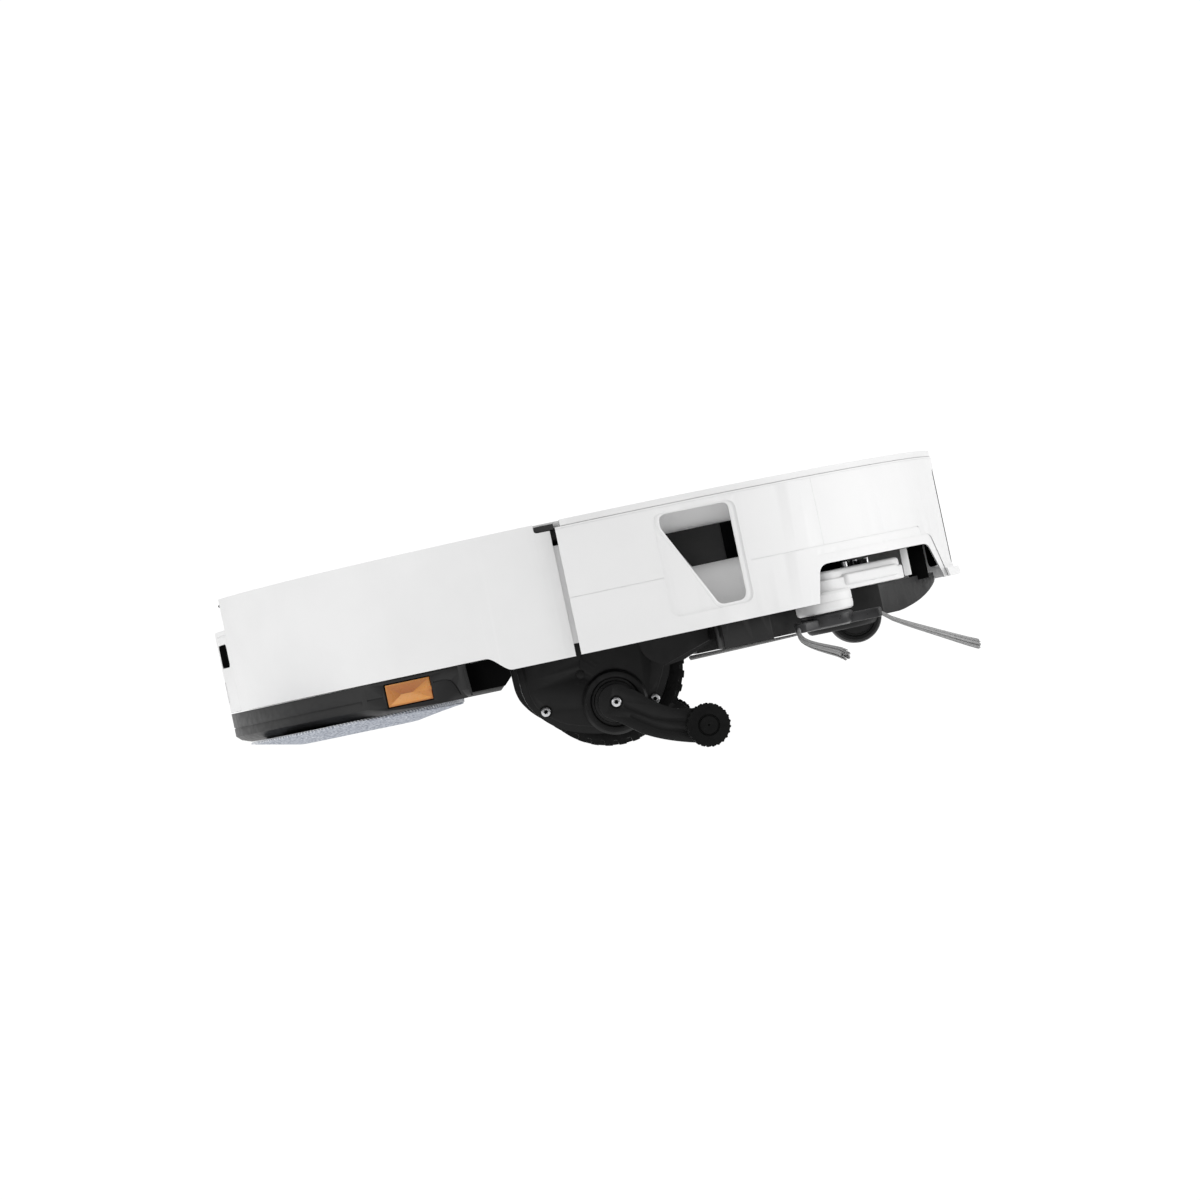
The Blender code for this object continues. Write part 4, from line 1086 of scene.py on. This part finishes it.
def make_wheel(side, sign):
    """A drive wheel: lugged tyre in two staggered rows, and a spoked hub."""
    lugs = 34

    def radius_at(kind, across, angle):
        if kind != "tread":
            return kind
        row = 0.5 if across > 0 else 0.0
        phase = (angle / 360.0 * lugs + row) % 1.0
        wall = min(1.0, max(0.0, (0.33 - abs(phase - 0.5)) / 0.07))
        middle = min(1.0, abs(across) / 1.2)
        return 32.3 + (WHEEL_R - 32.3) * wall * middle
    spread = (-11.6, -11.0, -1.2, -0.6, 0.6, 1.2, 11.0, 11.6)
    rings = ([(27.5, -12.4), (29.0, -12.5), (31.5, -12.5), (32.2, -12.2)]
             + [("tread", across) for across in spread]
             + [(32.2, 12.2), (31.5, 12.5), (29.0, 12.5), (27.5, 12.4)])
    centre = (WHEEL[0], sign * WHEEL[1], WHEEL[2])
    tyre = tread_mesh("lugged_tyre_" + side, centre, rings, radius_at, lugs * 16)
    dress(smooth(tyre), "wheel_" + side, ["tyre_" + side], RUBBER)
    dish = [(0, -6.0), (17.0, -6.0), (19.0, -10.6), (20.0, -11.0), (26.6, -11.0), (27.0, -10.6),
            (27.0, 10.6), (26.6, 11.0), (20.0, 11.0), (19.0, 10.6), (17.0, 6.0), (0, 6.0)]
    hub = turned("wheel_rim_" + side, dish, centre, "y", 72)
    holes = []
    for i in range(5):
        x, z = polar(11.5, 72 * i)
        holes.append(cylinder("hole", 3.2, -8.0, 8.0, (x, centre[1], centre[2] + z), "y", 32))
    cut(hub, *holes)
    dress(soften(hub, 0.3, 2), "wheel_" + side, ["wheel_hub_" + side], SHADE)


def leg_outline():
    """The S-shaped leg arm, seen from the side."""
    lower = smooth_line([(-5.6, -18.7), (2.0, -24.0), (9.0, -29.4), (17.0, -33.4),
                         (26.0, -36.6), (34.6, -38.9)], 6)
    upper = smooth_line([(37.2, -23.0), (29.5, -22.4), (23.0, -20.2), (15.5, -15.4),
                         (9.0, -9.4), (6.6, -8.4)], 6)
    root = arc(8.0, 35, 225, 24, (0.0, LEG_PIVOT_Z))
    return lower + arc(8.1, -104, 86, 24, ROLLER) + upper + root[1:-1]


def make_leg(side, sign):
    """A climbing leg: stepped hub disc, grooved arm, screw and toothed roller."""
    arm = prism("climbing_arm_" + side, leg_outline(), *outward(sign, 140.0, 149.0), "y")
    soften(arm, 1.1)
    centre = [(4.0, -17.4), (9.0, -21.2), (16.0, -25.6), (24.0, -28.6), (31.0, -30.2)]
    channel = smooth_line(centre, 6)
    grooves = []
    for offset in (-2.7, 2.7):
        line = [(x + offset * 0.35, z - offset * 0.94) for x, z in channel]
        grooves.append(prism("groove", ribbon(line, 0.95), *outward(sign, 148.0, 150.0), "y"))
    seat = cylinder("seat", 3.1, *outward(sign, 147.6, 150.0), (0, 0, LEG_PIVOT_Z), "y", 40)
    cut(arm, seat, *grooves)
    pivot = (0, 0, LEG_PIVOT_Z)
    disc = turned("disc", [(0, sign * 137.4), (14.6, sign * 137.4), (14.6, sign * 138.6),
                           (13.4, sign * 140.0), (11.2, sign * 140.0), (10.6, sign * 139.0),
                           (9.6, sign * 139.0), (9.2, sign * 140.6), (0, sign * 140.6)],
                  pivot, "y", 96)
    join(arm, disc)
    dress(soften(arm, 0.3, 2), "leg_" + side, ["leg_arm_" + side], SHADE)
    screw = make_screw("pivot_screw_" + side, (0.0, LEG_PIVOT_Z), sign, PIVOT_SCREW_Y)
    dress(screw, "leg_" + side, ["leg_screw_" + side], STEEL)
    make_socket_shade("pivot_socket_shade_" + side, (0.0, LEG_PIVOT_Z), sign, PIVOT_SCREW_Y, "leg_" + side)
    make_roller(side, sign)


def make_roller(side, sign):
    """The leg's roller: rubber teeth round it, a ring and a dished boss on its face."""
    teeth = 24

    def radius_at(kind, across, angle):
        if kind != "tread":
            return kind
        row = 0.5 if across > 0 else 0.0
        wave = math.cos(math.radians(angle * teeth) + 2 * math.pi * row)
        middle = min(1.0, abs(across) / 0.8)
        return ROLLER_R - 0.75 * (1 - middle) - 0.38 * (1 - max(-0.4, wave)) * middle
    outer = sign * 6.0
    rings = ([(0.4, -outer), (4.3, -outer), (8.6, -outer)]
             + [("tread", sign * across) for across in
                (-5.9, -5.2, -0.8, -0.3, 0.3, 0.8, 5.2, 5.9)]
             + [(8.6, outer), (4.9, outer), (4.6, outer - sign * 0.7), (4.2, outer - sign * 0.7),
                (3.9, outer), (2.0, outer - sign * 0.1), (0.4, outer - sign * 0.7)])
    centre = (ROLLER[0], sign * 155.7, ROLLER[1])
    roller = tread_mesh("toothed_roller_" + side, centre, rings, radius_at, teeth * 10)
    dress(smooth(roller), "roller_" + side, ["leg_roller_" + side], RUBBER)


def make_caster():
    """The front caster: pocketed yoke and a wheel with a ringed face."""
    body = [(0, -3.8), (15.6, -3.8), (16.6, -3.2), (17.3, -2.2), (17.5, -1.0), (17.5, 17.0),
            (17.0, 17.5), (0, 17.5)]
    yoke = turned("caster_fork", body, (CASTER_PIVOT_X, 0, 0), steps=96)
    pocket = rounded(rectangle(111.0, 145.0, -7.0, 7.0), [2.0, 0.5, 0.5, 2.0])
    cut(yoke, prism("pocket", pocket, -10.0, 14.8))
    dress(soften(yoke, 0.4, 2), "caster_yoke", ["caster_yoke"], CHARCOAL)
    half = [(0, 5.0), (3.0, 5.0), (3.4, 5.8), (8.2, 5.8), (8.7, 4.9), (9.3, 4.9), (9.8, 5.9),
            (11.2, 6.2), (12.2, 5.6), (12.7, 4.2)]
    profile = [(r, -h) for r, h in half] + [(r, h) for r, h in reversed(half)]
    wheel = turned("caster_tyre", profile, CASTER, "y", 96)
    dress(smooth(wheel), "caster_wheel", ["caster_wheel"], CHARCOAL)


# ---------------------------------------------------------------- brushes

def make_brush_arm():
    """The white gear arm that swings the side brush out."""
    lower = prism("gear_arm", capsule(BRUSH, BRUSH_PIVOT, 9.0), 14.4, 20.6)
    soften(lower, 0.8)
    near = polar(2.0, ARM_HEADING, BRUSH)
    upper = prism("gear_lid", capsule(near, BRUSH_PIVOT, 7.8), 19.4, 24.5)
    soften(upper, 1.6)
    pot = turned("gear_pot", [(0, 6.2), (11.6, 6.2), (12.7, 6.9), (13.0, 8.2), (13.0, 14.0),
                              (12.2, 15.2), (8.4, 15.8), (0, 15.8)], (*BRUSH, 0.0), steps=96)
    join(lower, upper, pot)
    out_x, out_y = polar(8.0, ARM_HEADING - 90)
    ends = [(x + out_x, y + out_y)
            for x, y in (polar(reach, ARM_HEADING, BRUSH) for reach in (9.0, 47.0))]
    bulge = prism("side_bulge", capsule(*ends, 2.6), 16.4, 21.6)
    soften(bulge, 1.3)
    join(lower, bulge)
    rib = capsule(*(polar(reach, ARM_HEADING, BRUSH) for reach in (12.0, 40.0)), 4.4)
    cut(lower, prism("lid_rib", rib, 24.0, 26.0),
        turned("pot_line", [(12.75, 10.4), (14, 10.4), (14, 10.8), (12.75, 10.8)],
               (*BRUSH, 0.0), steps=96, ring=True))
    dress(soften(lower, 0.25, 2), "brush_arm", ["brush_arm"], WHITE)
    make_arm_gear()
    make_arm_bay()


def make_arm_gear():
    """The small black gear and its steel pins on top of the arm."""
    centre = polar(30.0, ARM_HEADING, BRUSH)
    teeth = [polar(5.4 + 0.5 * math.cos(math.radians(18 * step)), step, centre)
             for step in range(0, 360, 5)]
    gear = prism("arm_gear", teeth, 24.0, 26.4)
    dress(smooth(gear), "brush_arm", [], GLOSS)
    profile = [(0, 24.2), (1.5, 24.2), (1.5, 26.9), (1.1, 27.2), (0, 27.2)]
    for number, reach in enumerate((22.0, 30.0, 39.0), 1):
        pin = turned("arm_pin_%d" % number, profile,
                     (*polar(reach, ARM_HEADING, BRUSH), 0.0), steps=24)
        dress(smooth(pin), "brush_arm", [], STEEL)


def make_arm_bay():
    """The pale stop, and a near-black wall ahead of the arm as painted shade, fixed in the body.
    """
    stop = prism("arm_stop", rectangle(143.8, 147.2, 15.0, 27.6), -82.0, -79.0, "y")
    dress(soften(stop, 0.4, 2), "chassis", [], WHITE)
    # painted shade: a near-black plate deep in the notch ahead of the arm
    wall = prism("arm_bay_painted_shade", rectangle(147.4, 156.4, 12.0, 27.6), -66.0, -63.0, "y")
    dress(soften(wall, 0.4, 2), "chassis", [], DEEP_BLACK_AND_SHADE)


def make_brush_hub():
    """The dark see-through brush hub with a holder for each tuft and a seat for a centre screw."""
    profile = [(0, -0.6), (9.4, -0.6), (11.4, 0.2), (12.0, 1.6), (12.0, 4.6), (11.2, 5.6),
               (0, 5.8)]
    hub = turned("brush_spider", profile, (*BRUSH, 0.0), steps=72)
    arms = []
    for root in TUFT_ROOTS:
        holder = prism("holder", capsule(polar(8.0, root, BRUSH), polar(21.6, root, BRUSH),
                                         3.1, 10), -0.4, 4.0)
        soften(holder, 0.8)
        arms.append(holder)
    join(hub, *arms)
    cut(hub, turned("screw_seat", [(0, -1), (3.4, -1), (3.4, 0.4), (0, 0.4)], (*BRUSH, 0.0),
                    steps=32))
    dress(soften(hub, 0.3, 2), "side_brush", ["brush_hub"], SMOKE)


def tuft_line(root, bend, lift, lean):
    """One bristle's path from its holder to its tip, set off from the middle by lift and lean."""
    points = []
    for i in range(12):
        share = i / 11
        radius = TUFT_R[0] + (TUFT_R[1] - TUFT_R[0]) * share
        heading = root + bend["sweep"] * (1 - (1 - share) ** 1.5)
        x, y = polar(radius, heading, BRUSH)
        flare = 0.4 + 0.7 * share
        side_x, side_y = polar(lean * flare * 2.0, heading + 90)
        z = 1.4 + (bend["tip_z"] - 1.4) * share ** bend["droop"]
        points.append(Vector((x + side_x, y + side_y, z + lift * flare * bend["spread"])))
    return points


def add_tube(shape, points, radius, sides=5):
    """A thin closed tube along points, added to a shape."""
    loops = []
    for i, point in enumerate(points):
        along = (points[min(i + 1, len(points) - 1)] - points[max(i - 1, 0)]).normalized()
        first = along.orthogonal().normalized() if i == 0 else first - along * first.dot(along)
        first.normalize()
        second = along.cross(first)
        loops.append([shape.verts.new(point + radius * (math.cos(2 * math.pi * k / sides) * first
                                      + math.sin(2 * math.pi * k / sides) * second))
                      for k in range(sides)])
    for low, high in zip(loops, loops[1:]):
        for k in range(sides):
            j = (k + 1) % sides
            shape.faces.new((low[k], low[j], high[j], high[k]))
    shape.faces.new(loops[0][::-1])
    shape.faces.new(loops[-1])


def make_tufts():
    """Three tufts, each a bundle of separate nylon bristles."""
    chance = random.Random(7)
    for root, (number, bend) in zip(TUFT_ROOTS, TUFTS.items()):
        shape = bmesh.new()
        for _ in range(BRISTLES):
            size = math.sqrt(chance.random())
            turn = chance.random() * 2 * math.pi
            line = tuft_line(root, bend, size * math.sin(turn), size * math.cos(turn))
            line[-1] = line[-2].lerp(line[-1], 0.8 + 0.2 * chance.random())
            add_tube(shape, line, BRISTLE_R)
        tuft = new_object(shape, "bristle_tuft_%d" % number)
        dress(smooth(tuft), "side_brush", ["brush_tuft_%d" % number], NYLON)


def make_main_brushes():
    """Two rubber rollers whose fins run in a V, so they sweep towards the middle."""
    reach, core, fins, stations = 81.0, 5.4, 6, 40
    for name, x in MAIN_BRUSH_X.items():
        loops = []
        for k in range(stations + 1):
            along = -reach + 2 * reach * k / stations
            twist = 70.0 * abs(along) / reach * (1 if name == "rear" else -1)
            loop = []
            for angle in range(0, 360, 5):
                wave = max(0.0, math.cos(math.radians(fins * (angle - twist)))) ** 3
                u, v = polar(core + (MAIN_BRUSH_R - core) * wave, angle)
                loop.append((x + u, along, MAIN_BRUSH_Z + v))
            loops.append(loop)
        roller = smooth(loft("finned_roller_" + name, loops))
        dress(roller, "main_brush_" + name, ["main_brush_" + name], RUBBER)


def make_guard():
    """The frame over the main brushes, with a slot over each."""
    guard = prism("guard_frame", rounded(rectangle(*GUARD_X, -GUARD_HALF, GUARD_HALF), 2.0),
                  0.0, 3.0)
    tools = []
    for x in MAIN_BRUSH_X.values():
        slot = rounded(rectangle(x - 10.8, x + 10.8, -82.5, 82.5), 2.5)
        tools.append(prism("slot", slot, -1.0, 4.0))
    cut(guard, *tools)
    dress(soften(guard, 0.5, 2), "chassis", ["brush_guard"], CHARCOAL)


# ---------------------------------------------------------------- mops

def pad_profile():
    """Half a mop pad's section: flat middle, 12 degree underside, plump rim, open top."""
    rim_z = MOP_LOW_Z + (MOP_R - MOP_FLAT_R) * math.tan(PITCH)
    under = [(0, MOP_LOW_Z), (10, MOP_LOW_Z), (20, MOP_LOW_Z), (MOP_FLAT_R - 2, MOP_LOW_Z)]
    for i in range(12):
        share = i / 11
        radius = MOP_FLAT_R + (MOP_R - 0.7 - MOP_FLAT_R) * share
        under.append((radius, MOP_LOW_Z + (radius - MOP_FLAT_R) * math.tan(PITCH) + 0.02))
    rim = [(MOP_R - 0.15, rim_z + 0.1), (MOP_R, rim_z + 0.4), (MOP_R - 0.2, MOP_TOP_Z - 0.05),
           (MOP_R - 0.9, MOP_TOP_Z + 0.05)]
    top = [(46.5, MOP_TOP_Z), (43.0, MOP_TOP_Z - 0.1), (39.0, MOP_TOP_Z), (MOP_DISC_R + 0.6,
           MOP_TOP_Z - 0.1), (MOP_DISC_R + 0.4, MOP_TOP_Z - 0.4), (MOP_DISC_R + 0.4, -0.5),
           (20, -0.5), (0, -0.5)]
    return under + rim + top


def make_pad(side):
    """A mop pad with a loopy surface, plumper at its front, and overlock stitches."""
    centre = (MOP_X, MOP_Y[side], 0.0)
    pad = turned("mop_cloth_" + side, pad_profile(), centre, steps=240)
    step = pad.modifiers.new("fine", "SUBSURF")
    step.levels = 1
    step.render_levels = 1
    bake(pad)
    chance = random.Random(11 if side == "right" else 12)
    back = HOME.inverted()
    down = (HOME.to_3x3() @ Vector((0, 0, 1)))
    normals = [vertex.normal.copy() for vertex in pad.data.vertices]
    for vertex, normal in zip(pad.data.vertices, normals):
        spot = back @ vertex.co
        away = math.hypot(spot.x - centre[0], spot.y - centre[1])
        if away > MOP_DISC_R + 2:
            pile = 0.16 * chance.random() * min(1.0, (away - MOP_DISC_R - 2) / 3)
            vertex.co -= normal * pile * MM
        ahead = max(0.0, (spot.x - centre[0]) / MOP_R)
        if spot.z < MOP_TOP_Z - 0.4:
            vertex.co -= down * PAD_BULGE * ahead * (away / MOP_R) ** 2
    dress(smooth(pad), "mop_" + side, ["mop_pad_" + side], FABRIC)
    make_stitches(side, centre)


def make_stitches(side, centre):
    """Overlock thread: a slanted loop over the rim for every stitch, and a chain on top."""
    shape = bmesh.new()
    lean = 360.0 / STITCHES
    for i in range(STITCHES):
        start = 360.0 * i / STITCHES
        drop = PAD_BULGE * 0.6 * max(0.0, math.cos(math.radians(start)))
        loop = [(45.9, 2.35, 0.0), (47.4, 2.6, 0.25), (48.8, 2.5, 0.5), (49.4, 2.0, 0.7),
                (49.4, 1.72 - drop, 0.85)]
        points = []
        for radius, height, share in loop:
            x, y = polar(radius, start + lean * share, centre[:2])
            points.append(Vector((x, y, height)))
        add_tube(shape, points, THREAD_R)
    chain = []
    for i in range(2 * STITCHES + 1):
        radius = 45.8 + (0.25 if i % 2 else -0.25)
        chain.append(Vector((*polar(radius, 360.0 * i / (2 * STITCHES), centre[:2]), 2.45)))
    add_tube(shape, chain, THREAD_R)
    stitches = new_object(shape, "overlock_" + side)
    dress(smooth(stitches), "mop_" + side, [], THREAD)


def make_mops():
    """Both pads and their carrier discs, and the right pad's swing arm."""
    for side in SIDES:
        make_pad(side)
        centre = (MOP_X, MOP_Y[side], 0.0)
        plate = [(0, -0.2), (MOP_DISC_R - 0.4, -0.2), (MOP_DISC_R, 0.2), (MOP_DISC_R, 1.9),
                 (MOP_DISC_R - 0.5, 2.3), (6.6, 2.3), (6.0, 2.8), (6.0, 4.5), (5.6, 4.8), (0, 4.8)]
        disc = turned("mop_carrier_" + side, plate, centre, steps=96)
        dress(smooth(disc), "mop_" + side, ["mop_disc_" + side], CHARCOAL)
    arm = prism("mop_arm_beam", capsule((MOP_X, MOP_Y["right"]), MOP_PIVOT, 9.5, 24), 5.2, 9.4)
    dress(soften(arm, 0.6), "mop_arm", ["mop_arm"], CHARCOAL)


# ---------------------------------------------------------------- inside pieces

def make_bin():
    """The dust bin with rounded corners, and its pleated filter."""
    tub = prism("bin_tub", rounded(rectangle(*BIN_X, -BIN_HALF, BIN_HALF), 3.0), 16.0, 66.0)
    inside = rounded(rectangle(BIN_X[0] + 2, BIN_X[1] - 2, -BIN_HALF + 2, BIN_HALF - 2), 2.0)
    cut(tub, prism("hollow", inside, 18.5, 70.0))
    dress(soften(tub, 0.5, 2), "bin", ["dust_bin"], SMOKE)
    pleats = 26
    back, front = BIN_X[0] + 2.4, BIN_X[0] + 14.0
    zigzag = []
    for i in range(2 * pleats + 1):
        depth = 1.4 if i % 2 else 0.0
        zigzag.append((front - depth, -BIN_HALF + 3 + (2 * BIN_HALF - 6) * i / (2 * pleats)))
    outline = [(back, -BIN_HALF + 3)] + zigzag + [(back, BIN_HALF - 3)]
    paper = prism("pleated_filter", outline, 19.0, 64.0)
    dress(smooth(paper), "bin", ["bin_filter"], PAPER)


def finish_inner_nodes():
    """Materials for the CAD pieces that stay as they are inside the body."""
    looks = {"battery_pack": DEEP_BLACK_AND_SHADE, "water_tank": SMOKE, "main_board": BOARD,
             "brush_motor": STEEL, "fan_housing": DEEP_BLACK_AND_SHADE, "impeller": WHITE}
    for node, look in looks.items():
        item = frame["nodes"][node]
        item.data.materials.clear()
        item.data.materials.append(look)


# ---------------------------------------------------------------- stage

def make_stage():
    """A plain white floor, lit from under itself so that no shadow or horizon shows."""
    mesh = bpy.data.meshes.new("floor")
    size = 6.0
    mesh.from_pydata([(-size, -size, 0), (size, -size, 0), (size, size, 0), (-size, size, 0)],
                     [], [(0, 1, 2, 3)])
    floor = bpy.data.objects.new("floor", mesh)
    bpy.context.scene.collection.objects.link(floor)
    look = Look("white_floor")
    look.colour(look.blend(look.noise(4, 2), (0.05, 0.05, 0.05), (0.06, 0.06, 0.06)))
    look.roughness(look.span(look.noise(20, 2), 0.85, 0.95))
    look.fix(Emission_Color=(1.0, 1.0, 1.0, 1.0), Emission_Strength=1.0,
             Specular_IOR_Level=0.0)
    mesh.materials.append(look.material)


def add_light(name, place, aim, size, power):
    """A soft square light aimed at a point."""
    lamp = bpy.data.lights.new(name, "AREA")
    lamp.shape = "SQUARE"
    lamp.size = size
    lamp.energy = power
    item = bpy.data.objects.new(name, lamp)
    item.location = place
    item.rotation_euler = (Vector(aim) - Vector(place)).to_track_quat("-Z", "Y").to_euler()
    bpy.context.scene.collection.objects.link(item)


def make_sky():
    """A studio that is bright overhead and behind the robot and dim near the ground."""
    world = bpy.data.worlds.new("studio")
    world.use_nodes = True
    tree = world.node_tree
    coords = tree.nodes.new("ShaderNodeTexCoord")
    axes = tree.nodes.new("ShaderNodeSeparateXYZ")
    tree.links.new(coords.outputs["Generated"], axes.inputs[0])
    overhead = tree.nodes.new("ShaderNodeMapRange")
    behind = tree.nodes.new("ShaderNodeMapRange")
    brighter = tree.nodes.new("ShaderNodeMath")
    brighter.operation = "MAXIMUM"
    for node, axis, values in ((overhead, 2, (0.0, 1.0, 0.22, 1.1)),
                               (behind, 1, (0.88, 0.93, 0.0, 1.06))):
        tree.links.new(axes.outputs[axis], node.inputs[0])
        for index, value in enumerate(values, 1):
            node.inputs[index].default_value = value
    tree.links.new(overhead.outputs[0], brighter.inputs[0])
    tree.links.new(behind.outputs[0], brighter.inputs[1])
    tree.links.new(brighter.outputs[0], tree.nodes["Background"].inputs["Strength"])
    tree.nodes["Background"].inputs["Color"].default_value = (1.0, 1.0, 1.0, 1.0)
    bpy.context.scene.world = world


def make_lights():
    """Soft white studio light: a dim dome, a left fill and a stronger right key."""
    make_sky()
    bpy.context.scene.view_settings.view_transform = "Standard"
    aim = (0.0, 0.0, 0.07)
    add_light("key", (1.85, -0.2, 0.75), aim, 1.3, 15.0)
    add_light("fill", (-1.6, -0.95, 0.75), aim, 1.3, 8.5)


def make_camera():
    """The camera, nearly level with the floor and square to the robot's right side."""
    azimuth, tilt, distance = math.radians(1.814), math.radians(0.92), 2.065
    ahead = Vector((math.sin(azimuth) * math.cos(tilt), math.cos(azimuth) * math.cos(tilt),
                    math.sin(tilt)))
    data = bpy.data.cameras.new("camera")
    data.sensor_width = 36.0
    data.lens = 130.7
    camera = bpy.data.objects.new("camera", data)
    camera.location = Vector(CAMERA_AIM) - ahead * distance
    camera.rotation_euler = ahead.to_track_quat("-Z", "Y").to_euler()
    bpy.context.scene.collection.objects.link(camera)
    bpy.context.scene.camera = camera


def make_all():
    """Every piece of the robot, and the stage round it."""
    make_camera()
    make_lights()
    make_stage()
    make_shell()
    make_panel()
    make_base()
    make_insert()
    make_deck()
    make_bumper()
    make_sensor_bay()
    make_cover()
    make_turret()
    for side, sign in SIDES.items():
        make_module(side, sign)
        make_wheel(side, sign)
        make_leg(side, sign)
    make_caster()
    make_brush_arm()
    make_brush_hub()
    make_tufts()
    make_main_brushes()
    make_guard()
    make_mops()
    make_bin()
    finish_inner_nodes()


make_all()
